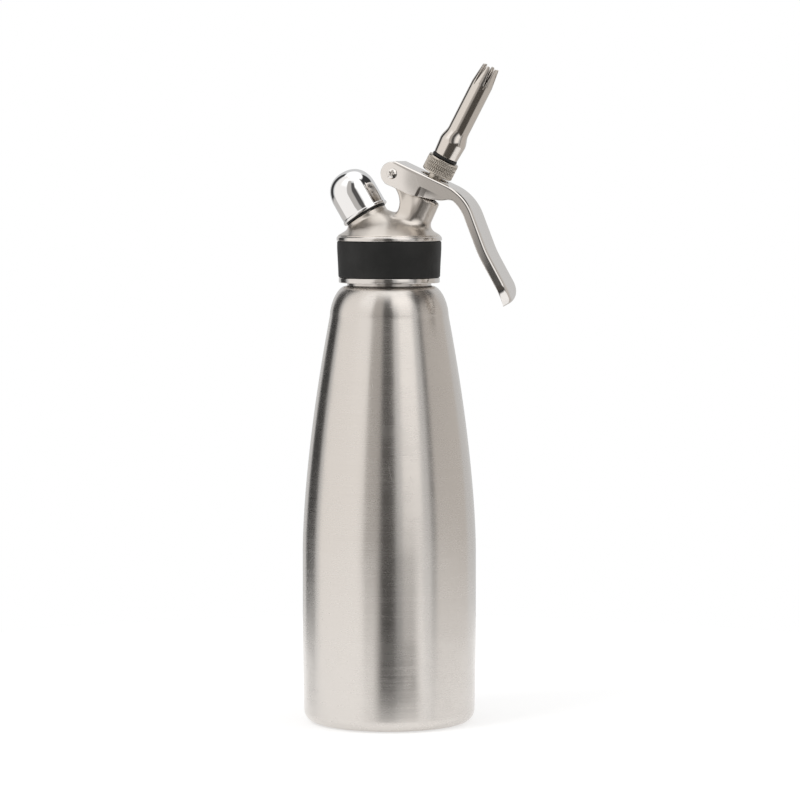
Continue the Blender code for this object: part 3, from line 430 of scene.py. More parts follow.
MICRON = 0.000001
BRIGHT = (0.770, 0.740, 0.710)
BRUSHED = metal("brushed_stainless", (0.715, 0.680, 0.645), 0.24, 20 * MICRON, brush=(1100.0, 0.9, 0.88))
CAST = metal("satin_casting", (0.700, 0.655, 0.605), 0.28, 10 * MICRON, brush=(900.0, 0.4, 0.70),
             clouds=0.04, scratch=0.02)
COLLAR = metal("turned_collar", (0.730, 0.700, 0.670), 0.18, 20 * MICRON, brush=(1500.0, 0.7, 0.7))
POLISHED = metal("polished_steel", BRIGHT, 0.085, 5 * MICRON, clouds=0.05, scratch=0.05, waves=0.0012)
LEVER_STEEL = metal("pressed_lever", BRIGHT, 0.10, 5 * MICRON, clouds=0.05, scratch=0.04, waves=0.0008,
                    bow=(0.013, 2.3))
CHROME = metal("chrome", (0.880, 0.880, 0.885), 0.025, 4 * MICRON, clouds=0.02, scratch=0.05)
NICKEL = metal("knurled_nickel", (0.590, 0.545, 0.485), 0.24, 30 * MICRON, clouds=0.10)
DRAWN = metal("turned_tip", (0.720, 0.675, 0.630), 0.12, 10 * MICRON, brush=(1300.0, 0.7, 0.3), scratch=0.05)
WIRE = metal("spring_steel", (0.560, 0.555, 0.550), 0.24, 30 * MICRON, clouds=0.10)
print("metals", [m.name for m in bpy.data.materials if m.use_nodes])

# %% [markdown]
# ## Silicone, rubber and plastic
#
# The grip band is matt silicone with a fine moulded grain and a trace of dust. The seals are the same idea in
# a deeper black with a little more shine, and the stem's guide is a plain white bearing plastic.


# %% Moulded materials
def moulded(name, colour, roughness, grain_depth, dust, sheen=0.0):
    """A matt moulded finish, lighter where it is handled or worn, with dust in its grain."""
    made, graph, shader = principled(name)
    colour = colour + (1,)
    grain = graph.group(MOULDED, Fineness=2400.0)
    edges = graph.group(EDGES, Sharpness=0.08)
    handled = graph.group(HANDLING, Size=55.0)
    lifted = tinted(colour, 1.9, 0.02)
    tint = graph.mix(graph.times(handled["Clouds"], 0.30), colour, lifted)
    tint = graph.mix(graph.times(edges["Worn"], 0.35), tint, lifted)
    tint = graph.mix(graph.times(grain["Dust"], dust), tint, tinted(colour, 1.0, 0.16))
    level = graph.plus(roughness, graph.times(graph.minus(grain["Grain"], 0.5), 0.20))
    level = graph.minus(level, graph.times(handled["Clouds"], 0.08))
    graph.feed(shader["Sheen Weight"], sheen)
    graph.feed(shader["Specular IOR Level"], 0.32)
    graph.feed(shader["Base Color"], tint)
    graph.feed(shader["Roughness"], level)
    graph.feed(shader["Normal"], graph.bumped(grain["Grain"], 0.7, grain_depth))
    return made


SILICONE = moulded("charcoal_silicone", (0.012, 0.012, 0.0115), 0.60, 60 * MICRON, 0.25, sheen=0.02)
RUBBER = moulded("black_rubber", (0.014, 0.014, 0.014), 0.46, 40 * MICRON, 0.15)
PLASTIC = moulded("white_plastic", (0.72, 0.72, 0.69), 0.40, 30 * MICRON, 0.0)
print("moulded", SILICONE.name, RUBBER.name, PLASTIC.name)

# %% [markdown]
# ## Makers of turned pieces
#
# Most of a dispenser is turned on a lathe, so it starts from a profile of (radius, height). A profile's
# corners are softened first, because no machined corner is truly sharp.


# %% Profiles
def soften(corners, round_by, points=5):
    """A profile whose inner corners are replaced by small curves. Each corner may carry its own radius."""
    made = []
    count = len(corners)
    for i, corner in enumerate(corners):
        here = Vector(corner[:2])
        radius = corner[2] if len(corner) > 2 else round_by
        if i in (0, count - 1) or radius <= 0:
            made.append(tuple(here))
            continue
        before, after = Vector(corners[i - 1][:2]) - here, Vector(corners[i + 1][:2]) - here
        reach = min(radius, before.length * 0.49, after.length * 0.49)
        start, end = here + before.normalized() * reach, here + after.normalized() * reach
        for j in range(points):
            t = j / (points - 1)
            made.append(tuple(start * (1 - t) ** 2 + here * 2 * t * (1 - t) + end * t**2))
    return made


def arc(centre, radius, start, end, points):
    """Points of an arc from one angle to another, both included."""
    turns = [start + (end - start) * i / (points - 1) for i in range(points)]
    return [(centre[0] + radius * math.cos(a), centre[1] + radius * math.sin(a)) for a in turns]


def dense(profile, spacing):
    """The profile with extra points, so that no stretch is longer than the spacing."""
    made = [profile[0]]
    for (r0, z0), (r1, z1) in zip(profile, profile[1:]):
        parts = max(1, math.ceil(math.hypot(r1 - r0, z1 - z0) / spacing))
        made += [(r0 + (r1 - r0) * i / parts, z0 + (z1 - z0) * i / parts) for i in range(1, parts + 1)]
    return made


def thread(wall, pitch, depth, low, high, run_out=None):
    """A shape for turn: a helical ridge on the wall between two heights. A negative depth stands inwards."""

    def shape(radius, height, angles):
        phase = height / pitch - angles / (2 * math.pi)
        ridge = np.clip(0.5 + 0.8 * np.cos(2 * math.pi * phase), 0, 1)
        if run_out:
            ends = np.clip((height - low) / run_out, 0, 1) * np.clip((high - height) / run_out, 0, 1)
            ridge = ridge * ends
        on_wall = (abs(radius - wall) < 1e-5) & (height > low) & (height < high)
        return radius + np.where(on_wall, ridge * depth, 0), height + 0 * angles

    return shape


print("an arc's first point is", arc((0, 0), 1, 0, math.pi / 2, 5)[0])

# %% [markdown]
# ## Sweeping and dressing
#
# `turn` sweeps a profile round the local Z axis. Where a screw thread or a knurl is cut, a shape moves the
# swept points. `dress` then ties each finished piece to the solid that it stands for.


# %% Turning
def finish_piece(name, mesh, matrix, material, angle=40):
    """An object for the mesh, placed by the matrix, smooth except at corners sharper than the angle."""
    made = bpy.data.objects.new(name, mesh)
    bpy.context.scene.collection.objects.link(made)
    made.matrix_world = matrix
    mesh.materials.append(material)
    mesh.shade_smooth()
    mesh.set_sharp_from_angle(angle=math.radians(angle))
    return made


def mesh_from(name, points, faces):
    """A mesh without double points, whose faces all look outwards."""
    mesh = bpy.data.meshes.new(name)
    mesh.from_pydata([tuple(p) for p in points], [], [tuple(f) for f in faces])
    mesh.validate()
    tidy = bmesh.new()
    tidy.from_mesh(mesh)
    bmesh.ops.remove_doubles(tidy, verts=tidy.verts, dist=1e-6)
    bmesh.ops.recalc_face_normals(tidy, faces=tidy.faces)
    tidy.to_mesh(mesh)
    tidy.free()
    return mesh


def turn(name, profile, steps, matrix, material, ring=False, shape=None, angle=40):
    """Sweeps the profile. shape, if given, moves (radius, height) by the angle, for threads and knurls."""
    profile = np.array(profile)
    angles = np.arange(steps) * 2 * math.pi / steps
    radius = np.repeat(profile[:, :1], steps, axis=1)
    height = np.repeat(profile[:, 1:2], steps, axis=1)
    if shape:
        radius, height = shape(radius, height, angles[None, :])
    points = np.stack([radius * np.cos(angles), radius * np.sin(angles), height], axis=-1).reshape(-1, 3)
    rows = len(profile)
    faces = []
    for i in range(rows if ring else rows - 1):
        first, second = i * steps, ((i + 1) % rows) * steps
        for j in range(steps):
            k = (j + 1) % steps
            faces.append((first + j, first + k, second + k, second + j))
    return finish_piece(name, mesh_from(name, points, faces), matrix, material, angle)


def dress(piece, node, body, slot):
    """The piece stands for a node of the solids and rides on the body. The slot is not used."""
    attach(piece, body)
    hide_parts(node)
    print(piece.name, "has", len(piece.data.vertices), "points")


print("turning tools ready")

# %% [markdown]
# ## Makers of cast and pressed pieces
#
# A casting has no profile to sweep: towers melt into domes, and every corner is soft. Such a piece is
# described by a field, a function that is negative inside the metal, and a skin is drawn where the field is
# zero. Fields join and cut each other with `melt` and `carve`, which round the corner that they make.


# %% Fields
def melt(first, second, radius):
    """Joins two fields with a fillet of about the given radius."""
    share = np.clip(0.5 + 0.5 * (second - first) / radius, 0, 1)
    return second + (first - second) * share - radius * share * (1 - share)


def meet(first, second, radius):
    """What lies in both fields, with the outer corner rounded."""
    return -melt(-first, -second, radius)


def carve(first, second, radius):
    """The first field less the second, with the rim rounded."""
    return meet(first, -second, radius)


def corner(across, along, radius):
    """A rounded convex corner between two flat limits."""
    a, b = across + radius, along + radius
    return np.hypot(np.maximum(a, 0), np.maximum(b, 0)) + np.minimum(np.maximum(a, b), 0) - radius


def rotational(matrix, x, y, z):
    """Distance from the matrix's Z axis, and height along it."""
    inverse = matrix.inverted()
    px, py, pz = (inverse[i][0] * x + inverse[i][1] * y + inverse[i][2] * z + inverse[i][3] for i in range(3))
    return np.sqrt(px * px + py * py), pz


def outline_distance(corners, x, z):
    """Signed distance in the XZ plane from a closed outline, negative inside."""
    x, z = np.broadcast_arrays(x, z)
    nearest = np.full(x.shape, np.inf)
    inside = np.zeros(x.shape, dtype=bool)
    for (ax, az), (bx, bz) in zip(corners, corners[1:] + corners[:1]):
        ex, ez = bx - ax, bz - az
        along = np.clip(((x - ax) * ex + (z - az) * ez) / max(ex * ex + ez * ez, 1e-18), 0, 1)
        nearest = np.minimum(nearest, (x - ax - ex * along) ** 2 + (z - az - ez * along) ** 2)
        spans = (az > z) != (bz > z)
        if bz != az:
            inside ^= spans & (x < ax + ex * (z - az) / (bz - az))
    return np.where(inside, -1, 1) * np.sqrt(nearest)


print("field tools ready")

# %% [markdown]
# ## A skin on a field
#
# The field is sampled on a grid of small cells. Wherever its sign changes along a grid line, the four cells
# round that line share one face, and each cell keeps one point, the mean of its crossings. The points are
# then pulled onto the zero along the field's slope, which makes machined faces flat and round ones round.


# %% Skinning
def crossings(field, axis):
    """Where the field changes sign between a grid point and the next one along the axis."""
    low = [slice(None)] * 3
    high = [slice(None)] * 3
    low[axis], high[axis] = slice(0, -1), slice(1, None)
    first, second = field[tuple(low)], field[tuple(high)]
    where = np.argwhere((first < 0) != (second < 0))
    return where, first[tuple(where.T)], second[tuple(where.T)]


def cells_beside(where, axis, steps):
    """For each pair of steps across the axis, the cells that lie that way from the crossings."""
    others = [i for i in range(3) if i != axis]
    for first_step, second_step in steps:
        cell = where.copy()
        cell[:, others[0]] += first_step
        cell[:, others[1]] += second_step
        yield cell


def pulled(field, points, step, pulls):
    """The points, moved down the field's slope until they lie on its zero."""
    nudge = step * 0.05
    ways = np.eye(3) * nudge
    for _ in range(pulls):
        value = field(*points.T)
        rises = [field(*(points + way).T) - field(*(points - way).T) for way in ways]
        slope = np.stack(rises, axis=1) / (2 * nudge)
        length = np.maximum(np.sum(slope**2, axis=1), 0.05)
        move = -(value / length)[:, None] * slope
        points = points + np.clip(move, -step * 0.5, step * 0.5)
    return points


def quads_from(name, points, faces):
    """A mesh of four-cornered faces, filled in from arrays, which is far quicker than one face at a time."""
    mesh = bpy.data.meshes.new(name)
    mesh.vertices.add(len(points))
    mesh.vertices.foreach_set("co", points.astype(np.float32).ravel())
    mesh.loops.add(len(faces) * 4)
    mesh.loops.foreach_set("vertex_index", faces.astype(np.int32).ravel())
    mesh.polygons.add(len(faces))
    mesh.polygons.foreach_set("loop_start", np.arange(0, len(faces) * 4, 4, dtype=np.int32))
    mesh.update(calc_edges=True)
    mesh.validate()
    return mesh


def skin(name, field, low, high, step, matrix, material, angle, pulls=4):
    """A piece whose closed skin lies on the zero of field(x, y, z) inside the box."""
    counts = [int(math.ceil((b - a) / step)) + 1 for a, b in zip(low, high)]
    x, y, z = (a + step * np.arange(n) for a, n in zip(low, counts))
    values = field(x[:, None, None], y[None, :, None], z[None, None, :]).astype(np.float32)
    values = np.broadcast_to(values, counts)
    cell_shape = tuple(n - 1 for n in counts)
    total = np.zeros(cell_shape + (3,), dtype=np.float32)
    hits = np.zeros(cell_shape, dtype=np.float32)
    found = []
    for axis in range(3):
        where, before, after = crossings(values, axis)
        spot = where.astype(np.float32)
        spot[:, axis] += before / (before - after)
        found.append((where, before < 0))
        for cell in cells_beside(where, axis, ((0, 0), (0, -1), (-1, 0), (-1, -1))):
            fits = np.all((cell >= 0) & (cell < cell_shape), axis=1)
            index = tuple(cell[fits].T)
            np.add.at(total, index, spot[fits])
            np.add.at(hits, index, 1)
    used = hits > 0
    number = np.full(cell_shape, -1, dtype=np.int64)
    number[used] = np.arange(used.sum())
    points = total[used] / hits[used][:, None] * step + np.array(low)
    faces = []
    for axis, (where, inside) in enumerate(found):
        around = cells_beside(where, axis, ((0, 0), (-1, 0), (-1, -1), (0, -1)))
        ring = [number[tuple(np.clip(cell, 0, np.array(cell_shape) - 1).T)] for cell in around]
        quad = np.stack(ring, axis=1)
        flip = inside if axis != 1 else ~inside
        faces.append(np.where(flip[:, None], quad, quad[:, ::-1]))
    points = pulled(field, points.astype(np.float64), step, pulls)
    return finish_piece(name, quads_from(name, points, np.concatenate(faces)), matrix, material, angle)


print("skinning ready")

# %% [markdown]
# ## The bottle
#
# Spun from sheet: a rounded heel, a straight side, then a long draw to the shoulder and a neck with a coarse
# thread.

# %% Make the bottle
BODY_RADIUS, FOOT_RADIUS, HEEL_RADIUS = 0.0486, 0.0480, 0.0065
STRAIGHT_START, STRAIGHT_TOP = 0.050, 0.097
DRAW_TOP, DRAW_RADIUS, DRAW_POWER = 0.228, 0.0332, 1.6
BODY_HEIGHT, SHOULDER_RADIUS, SHOULDER_POWER = 0.2445, 0.0246, 1.7
NECK_RADIUS, THREAD_DEPTH, THREAD_END, THREAD_RUN_OUT = 0.0242, 0.0007, 0.0025, 0.002
BOTTLE_PITCH, BOTTLE_WALL, LIP_ROUND = 0.0040, 0.0012, 0.0008
KICK = [(0.036, 0.0), (0.034, 0.0006), (0.0, 0.0009)]  # the base is pressed in a little inside its ring
TURNS_WIDE, TURNS_MIDDLE, TURNS_SMALL = 224, 160, 96


def bottle_side(inset, spacing):
    """From the foot of the neck down to the middle of the base, moved in by the inset."""
    rise, reach = BODY_HEIGHT - inset - DRAW_TOP, DRAW_RADIUS - SHOULDER_RADIUS
    share = 2 / SHOULDER_POWER
    side = []
    for i in range(25):
        a = math.pi / 2 * (1 - i / 24)
        side.append((SHOULDER_RADIUS - inset + reach * abs(math.cos(a)) ** share,
                     DRAW_TOP + rise * math.sin(a) ** share))
    span = DRAW_TOP - STRAIGHT_TOP
    for i in range(1, 41):
        drawn = (1 - i / 40) ** DRAW_POWER
        side.append((BODY_RADIUS - inset - (BODY_RADIUS - DRAW_RADIUS) * drawn, DRAW_TOP - span * i / 40))
    side.append((BODY_RADIUS - inset, STRAIGHT_START))
    side += arc((FOOT_RADIUS - HEEL_RADIUS, HEEL_RADIUS), HEEL_RADIUS - inset, 0, -math.pi / 2, 17)
    return dense(side, spacing)


def make_bottle():
    """The wall, from the floor up inside to the mouth, then over the lip and down outside."""
    root = NECK_RADIUS - THREAD_DEPTH
    lip = arc((NECK_RADIUS - LIP_ROUND - THREAD_DEPTH, NECK_TOP - LIP_ROUND), LIP_ROUND, math.pi / 2, 0, 7)
    neck = dense([lip[-1], (root, BODY_HEIGHT + 0.0004), (SHOULDER_RADIUS - 0.0004, BODY_HEIGHT)], 0.0003)
    outside = lip[:-1] + neck + bottle_side(0, 0.002)[1:] + KICK
    bore = NECK_RADIUS - BOTTLE_WALL - THREAD_DEPTH / 2
    inside = [(bore, NECK_TOP - 0.0004)] + bottle_side(BOTTLE_WALL, 0.008) + [(0, BOTTLE_WALL)]
    profile = list(reversed(inside)) + outside
    low, high = BODY_HEIGHT + THREAD_END, NECK_TOP - THREAD_END
    ridge = thread(root, BOTTLE_PITCH, THREAD_DEPTH, low, high, THREAD_RUN_OUT)
    return turn("bottle_spun", profile, TURNS_WIDE, Matrix(), BRUSHED, shape=ridge, angle=50)


dress(make_bottle(), "bottle", "bottle", "brushed_stainless")

# %% [markdown]
# ## The head casting
#
# One casting carries everything: a dome, a leaning tower for the valve, a boss for the gas inlet, and a web
# with an ear for the lever's pin. They melt into each other with generous fillets, so that the metal flows
# and nothing cracks as it cools. The rim and the skirt below the dome are turned after casting, so those are
# crisp.

# %% Sizes of the head, above the seat of the head seal
RIM_RADIUS, RIM_BOTTOM, RIM_TOP, RIM_ROUND = 0.0294, 0.0027, 0.0049, 0.0007
GROOVE_FLOOR, SKIRT_BOTTOM, COLLAR_TOP, COLLAR_RADIUS = 0.0266, -0.0207, -0.0179, 0.0282
SOCKET_RADIUS, CAVITY_RADIUS, CAVITY_HEIGHT = 0.0250, 0.0215, 0.0042
DOME_RISE, DOME_POWER = 0.0118, 1.5
TOWER_RADIUS, TOWER_CHAMFER, TOWER_TAPER, TOWER_WAIST = 0.0089, 0.0010, 0.0100, 0.0094
TOWER_FOOT_LENGTH, TOWER_FOOT = 0.0205, 0.0128
SPRING_BORE, SPRING_BORE_DEPTH = 0.0066, 0.0120
EAR_RADIUS, EAR_NECK, EAR_HALF_WIDTH = 0.0067, 0.0050, 0.0093
WEB_HALF_WIDTH, WEB_ROUND, WEB_REAR_RADIUS, WEB_SIDE = 0.0080, 0.0018, 0.0143, 0.0094
WEB_FOOT_X, WEB_FOOT_RISE = 0.0041, 0.0140
BOSS_RADIUS, BOSS_NECK, BOSS_FOOT, BOSS_FOOT_LENGTH = 0.0116, 0.0030, 0.0140, 0.0085
TOWER_FILLET, BOSS_FILLET, WEB_FILLET, EAR_FILLET = 0.0050, 0.0042, 0.0030, 0.0010
TOWER_ROOT, BOSS_ROOT = 0.004, 0.016  # how deep each runs on into the dome
STEM_HOLE, GAS_BORE, GAS_BORE_DEPTH = 0.0043, 0.0085, 0.0063
CHARGE_BORE, CHARGE_BORE_DEPTH = 0.0054, 0.0120
PIN_HOLE = 0.00262
BORE_EDGE = 0.0003  # how much the rims of the bores are broken
CAST_STEP = 0.00045  # spacing of the skin's points


def circle_through(start, end, radius, points):
    """An arc from start to end that bulges to the left of that direction."""
    start, end = Vector(start), Vector(end)
    chord = end - start
    across = Vector((-chord.y, chord.x)).normalized()
    centre = (start + end) / 2 - across * math.sqrt(max(0, radius**2 - chord.length_squared / 4))
    first = math.atan2(start.y - centre.y, start.x - centre.x)
    sweep = 2 * math.asin(min(1, chord.length / (2 * radius)))
    return arc(centre, radius, first, first - sweep, points)


def web_outline():
    """The web's outline in the plane of the lever, from the pin down to the dome and the tower."""
    pin = Vector((PIVOT_AT.x, PIVOT_AT.z))
    tower_top = Vector((SPOUT.translation.x, SPOUT.translation.z)) - pin
    out = Vector((spout_axis.x, spout_axis.z))
    across = Vector((-out.y, out.x))
    stop, rear_stop = math.radians(82), math.radians(265)
    outline = arc((0, 0), EAR_NECK, math.radians(-15), stop, 12)
    outline += arc((0, 0), EAR_RADIUS, stop, rear_stop, 24)
    foot = (WEB_FOOT_X - pin.x, HEAD_SEAT + WEB_FOOT_RISE - pin.y)
    outline += circle_through(outline[-1], foot, WEB_REAR_RADIUS, 16)[1:]
    under = tower_top - out * TOWER_TAPER
    outline += [(under.x, foot[1]), tuple(under)]
    outline.append(tuple(tower_top + across * TOWER_RADIUS / 2 - out * TOWER_CHAMFER))
    outline.append(tuple(tower_top + across * WEB_SIDE))
    return [(x + pin.x, z + pin.y) for x, z in outline]


WEB_OUTLINE = web_outline()
print("the web's outline has", len(WEB_OUTLINE), "points")

# %% [markdown]
# ## The casting's field
#
# Each form of the casting is a field of its own, measured from the axis that it is turned on. They are melted
# together from the largest to the smallest, and the bores are carved last, as a machinist would cut them.


# %% Fields of the casting
def dome_field(radius, height):
    """The dome, whose distance is evened out by its slope."""
    share = radius / (RIM_RADIUS - RIM_ROUND)
    above = height - (RIM_TOP + RIM_ROUND + DOME_RISE * (1 - share**DOME_POWER))
    slope = DOME_RISE * DOME_POWER * share ** (DOME_POWER - 1) / (RIM_RADIUS - RIM_ROUND)
    return above / np.sqrt(1 + slope**2)


def tower_field(off, along):
    """The tower narrows a little to its face, and flares towards the dome."""
    down = np.clip((-along - TOWER_TAPER) / (TOWER_FOOT_LENGTH - TOWER_TAPER), 0, 1)
    swell = (TOWER_FOOT - TOWER_WAIST) * (1 - np.sqrt(1 - np.minimum(down, 0.98) ** 2))
    lean_in = np.clip(-along / TOWER_TAPER, 0, 1) * (TOWER_WAIST - TOWER_RADIUS)
    tower = corner(off - TOWER_RADIUS - lean_in - swell, along, TOWER_CHAMFER)
    return np.maximum(tower, -along - TOWER_FOOT_LENGTH - TOWER_ROOT)


def boss_field(off, along):
    """The boss under the gas inlet widens to its foot."""
    cone = np.clip((-along - BOSS_NECK) / (BOSS_FOOT_LENGTH - BOSS_NECK), 0, 1.6)
    boss = corner(off - BOSS_RADIUS - cone * (BOSS_FOOT - BOSS_RADIUS), along + PLAY, 0.0005)
    return np.maximum(boss, -along - BOSS_ROOT)


def casting_field(x, y, z):
    """Negative inside the casting's metal."""
    radius = np.sqrt(x * x + y * y)
    height = z - HEAD_SEAT
    off, along = rotational(SPOUT, x, y, z)
    gas_off, gas_along = rotational(GAS, x, y, z)
    pin_off = np.sqrt((x - PIVOT_AT.x) ** 2 + (z - PIVOT_AT.z) ** 2)
    web = corner(outline_distance(WEB_OUTLINE, x, z), np.abs(y) - WEB_HALF_WIDTH, WEB_ROUND)
    ear = corner(pin_off - EAR_NECK, np.abs(y) - EAR_HALF_WIDTH, 0.0005)

    made = melt(dome_field(radius, height), tower_field(off, along), TOWER_FILLET)
    made = melt(made, boss_field(gas_off, gas_along), BOSS_FILLET)
    made = melt(made, web, WEB_FILLET)
    made = melt(made, ear, EAR_FILLET)
    made = meet(made, radius - (RIM_RADIUS - RIM_ROUND - 0.0001), 0.0003)
    made = np.maximum(made, RIM_BOTTOM + 0.0008 - height)
    # The pocket over the bottle's mouth, the valve's bore, the gas inlet and the pin's hole
    pocket = np.maximum(radius - CAVITY_RADIUS, height - CAVITY_HEIGHT)
    spring_bore = np.maximum(off - SPRING_BORE, -along - SPRING_BORE_DEPTH)
    stem_bore = melt(spring_bore, off - STEM_HOLE, 0.0002)
    gas_bore = np.maximum(gas_off - GAS_BORE, -gas_along - GAS_BORE_DEPTH)
    charge_bore = np.maximum(gas_off - CHARGE_BORE, -gas_along - CHARGE_BORE_DEPTH)
    for bore in (pocket, stem_bore, np.minimum(gas_bore, charge_bore), pin_off - PIN_HOLE):
        made = carve(made, bore, BORE_EDGE)
    return made


print("the dome rises", round(DOME_RISE * 1000, 1), "mm above its rim")


# %% Cast the dome, turn the skirt and stretch the band
def make_casting():
    """The dome with its tower, boss and web. The box ends a little outside the metal."""
    low = (-0.0292, -0.0292, HEAD_SEAT + RIM_BOTTOM)
    high = (0.0330, 0.0292, PIVOT_AT.z + EAR_RADIUS + 0.0006)
    return skin("head_casting_dome", casting_field, low, high, CAST_STEP, Matrix(), CAST, 55, pulls=3)


def make_skirt():
    """The rim under the dome and the skirt with its collar, turned after casting."""
    profile = soften([
        (GROOVE_FLOOR + 0.0006, RIM_TOP + 0.0004, 0),
        (RIM_RADIUS - RIM_ROUND, RIM_TOP + 0.0003, 0.0002),
        (RIM_RADIUS, RIM_TOP - 0.0003, 0.0006),
        (RIM_RADIUS, RIM_BOTTOM, 0.0003),
        (GROOVE_FLOOR, RIM_BOTTOM, 0.0002),
        (GROOVE_FLOOR, COLLAR_TOP, 0.0002),
        (COLLAR_RADIUS, COLLAR_TOP, 0.0004),
        (COLLAR_RADIUS, SKIRT_BOTTOM, 0.0005),
        (SOCKET_RADIUS - 0.0002, SKIRT_BOTTOM, 0.0004),
        (SOCKET_RADIUS, SKIRT_BOTTOM + 0.0008, 0),
        (SOCKET_RADIUS, -0.0001, 0),
        (CAVITY_RADIUS, -0.0001, 0),
        (CAVITY_RADIUS, RIM_TOP + 0.0004, 0),
    ], 0.0002)
    return turn("head_skirt", profile, TURNS_WIDE, HEAD, COLLAR, ring=True)


def make_band():
    """The silicone band, stretched into the groove, a little proud of the steel above and below."""
    top, bottom = RIM_BOTTOM - 0.0002, COLLAR_TOP + 0.0002
    wide, narrow = 0.0291, 0.0284
    profile = dense(soften([
        (GROOVE_FLOOR + 0.0002, top, 0),
        (wide, top, 0.0009),
        (wide + 0.00005, top - 0.004, 0.002),
        (narrow + 0.0002, (top + bottom) / 2 - 0.004, 0.004),
        (narrow, bottom, 0.0012),
        (GROOVE_FLOOR + 0.0002, bottom, 0),
    ], 0.001, 9), 0.0008)
    return turn("grip_band_silicone", profile, TURNS_WIDE, HEAD, SILICONE, ring=True, angle=60)


dress(make_casting(), "head_casting", "head", "satin_casting")
dress(make_skirt(), "head_casting", "head", "satin_casting")
dress(make_band(), "grip_band", "head", "charcoal_silicone")

# %% [markdown]
# ## The gas inlet
#
# A chromed cap, drawn to a blunt dome with a thin rolled lip, screws over the threaded nipple that a gas
# charger is pierced on. Chrome needs a dense skin, because every flat shows in its reflections.

# %% Make the protective cap and the nipple
CAP_RADIUS, CAP_LIP_RADIUS, CAP_LIP_HEIGHT = 0.0131, 0.0135, 0.0016
CAP_LOW, CAP_STRAIGHT, CAP_DOME, CAP_POWER = 0.0008, 0.0135, 0.0139, 2.3
CAP_BORE, CAP_WALL, CAP_PITCH = 0.0111, 0.0016, 0.0020
NIPPLE_RADIUS, NIPPLE_HEIGHT, CUP_RADIUS = 0.0104, 0.0125, 0.0088
CAP_THREAD, NIPPLE_THREAD = 0.0004, 0.0005  # how far each ridge stands out
NEEDLE_HOLE, CHARGER_FACE, NIPPLE_FOOT, NIPPLE_FOOT_RADIUS = 0.0014, 0.0030, -0.0060, 0.0082


def crown(radius, rise, points):
    """The cap's blunt dome, from its top down to the straight side."""
    share = 2 / CAP_POWER
    turns = [math.pi / 2 * (1 - i / (points - 1)) for i in range(points)]
    return [(radius * abs(math.cos(a)) ** share if i else 0, CAP_STRAIGHT + rise * math.sin(a) ** share)
            for i, a in enumerate(turns)]


def make_cap():
    """The cap outside and inside, with the thread that grips the nipple."""
    lip = soften([
        (CAP_RADIUS, CAP_LOW + CAP_LIP_HEIGHT + 0.003, 0),
        (CAP_RADIUS, CAP_LOW + CAP_LIP_HEIGHT, 0.0003),
        (CAP_LIP_RADIUS, CAP_LOW + CAP_LIP_HEIGHT - 0.0003, 0.0003),
        (CAP_LIP_RADIUS, CAP_LOW, 0.0004),
        (CAP_BORE + 0.0004, CAP_LOW, 0.0003),
        (CAP_BORE, CAP_LOW + 0.0005, 0),
    ], 0.0003)
    outside = crown(CAP_RADIUS, CAP_DOME, 40) + lip
    inside = dense([(CAP_BORE, CAP_LOW + 0.0006), (CAP_BORE, CAP_STRAIGHT)], 0.0005)
    inside += list(reversed(crown(CAP_BORE, CAP_DOME - CAP_WALL, 20)))[1:]

    ridge = thread(CAP_BORE, CAP_PITCH, -CAP_THREAD, CAP_LOW + 0.001, CAP_STRAIGHT - 0.002)
    return turn("cap_chromed", outside + inside, TURNS_MIDDLE, GAS, CHROME, shape=ridge, angle=50)


def make_nipple():
    """The threaded nipple, with the cup that the neck of a charger rests in."""
    root = NIPPLE_RADIUS - NIPPLE_THREAD
    cup = soften([
        (NEEDLE_HOLE, CHARGER_FACE, 0),
        (0.0047, CHARGER_FACE, 0.0002),
        (0.0047, NIPPLE_HEIGHT - 0.0042, 0.0004),
        (CUP_RADIUS, NIPPLE_HEIGHT, 0.0003),
        (root - 0.0004, NIPPLE_HEIGHT, 0.0003),
        (root, NIPPLE_HEIGHT - 0.0006, 0.0002),
    ], 0.0002)
    wall = dense([(root, NIPPLE_HEIGHT - 0.0008), (root, 0.0016)], 0.00025)
    foot = [
        (root - 0.0003, 0.0012),
        (NIPPLE_RADIUS, 0.0008),
        (NIPPLE_RADIUS, 0.0),
        (NIPPLE_FOOT_RADIUS, 0.0),
        (NIPPLE_FOOT_RADIUS, NIPPLE_FOOT),
        (NEEDLE_HOLE, NIPPLE_FOOT),
    ]
    ridge = thread(root, CAP_PITCH, NIPPLE_THREAD, 0.0016, NIPPLE_HEIGHT - 0.001)
    return turn("nipple_threaded", cup + wall + foot, TURNS_MIDDLE, GAS, POLISHED, ring=True, shape=ridge)


dress(make_cap(), "protective_cap", "cap", "chrome")
dress(make_nipple(), "charging_nipple", "head", "polished_steel")

# %% [markdown]
# ## The lever
#
# Pressed from one sheet: a plate over the tower, a bend, and a long channel that ends in a dished tip. Its
# field is written along the line of the top face. `down` is the depth below that line and `along` is the way
# travelled on it, so the folded corners, the sheet's thickness and the deep cheeks all follow the bends by
# themselves.

# %% Sizes of the lever, from the pin's axis
SHEET, LEVER_HALF, LEVER_FOLD = 0.0015, 0.01125, 0.0019
PLATE_SLOPE, PLATE_RISE, PLATE_LENGTH = math.radians(24.3), 0.0072, 0.0319
BEND_RADIUS, HANDLE_SLOPE, HANDLE_UPPER = 0.0284, math.radians(68.6), 0.0180
FLARE_RADIUS, FLARE_SLOPE, HANDLE_LOWER, END_LENGTH = 0.060, math.radians(60.6), 0.0150, 0.0107
FLANGE_DEPTH, LUG_RADIUS, PLATE_REAR = 0.0056, 0.0066, 0.0014
END_DROP = 0.85 * FLANGE_DEPTH
SLOT_LENGTH, SLOT_WIDTH = 0.0168, 0.0130
COIN_START, COIN_DEPTH, COIN_SLOPE = 0.0172, 0.0068, 0.12
LEVER_STEP = 0.00028


def slope_vector(slope):
    return np.array([math.cos(slope), -math.sin(slope)])


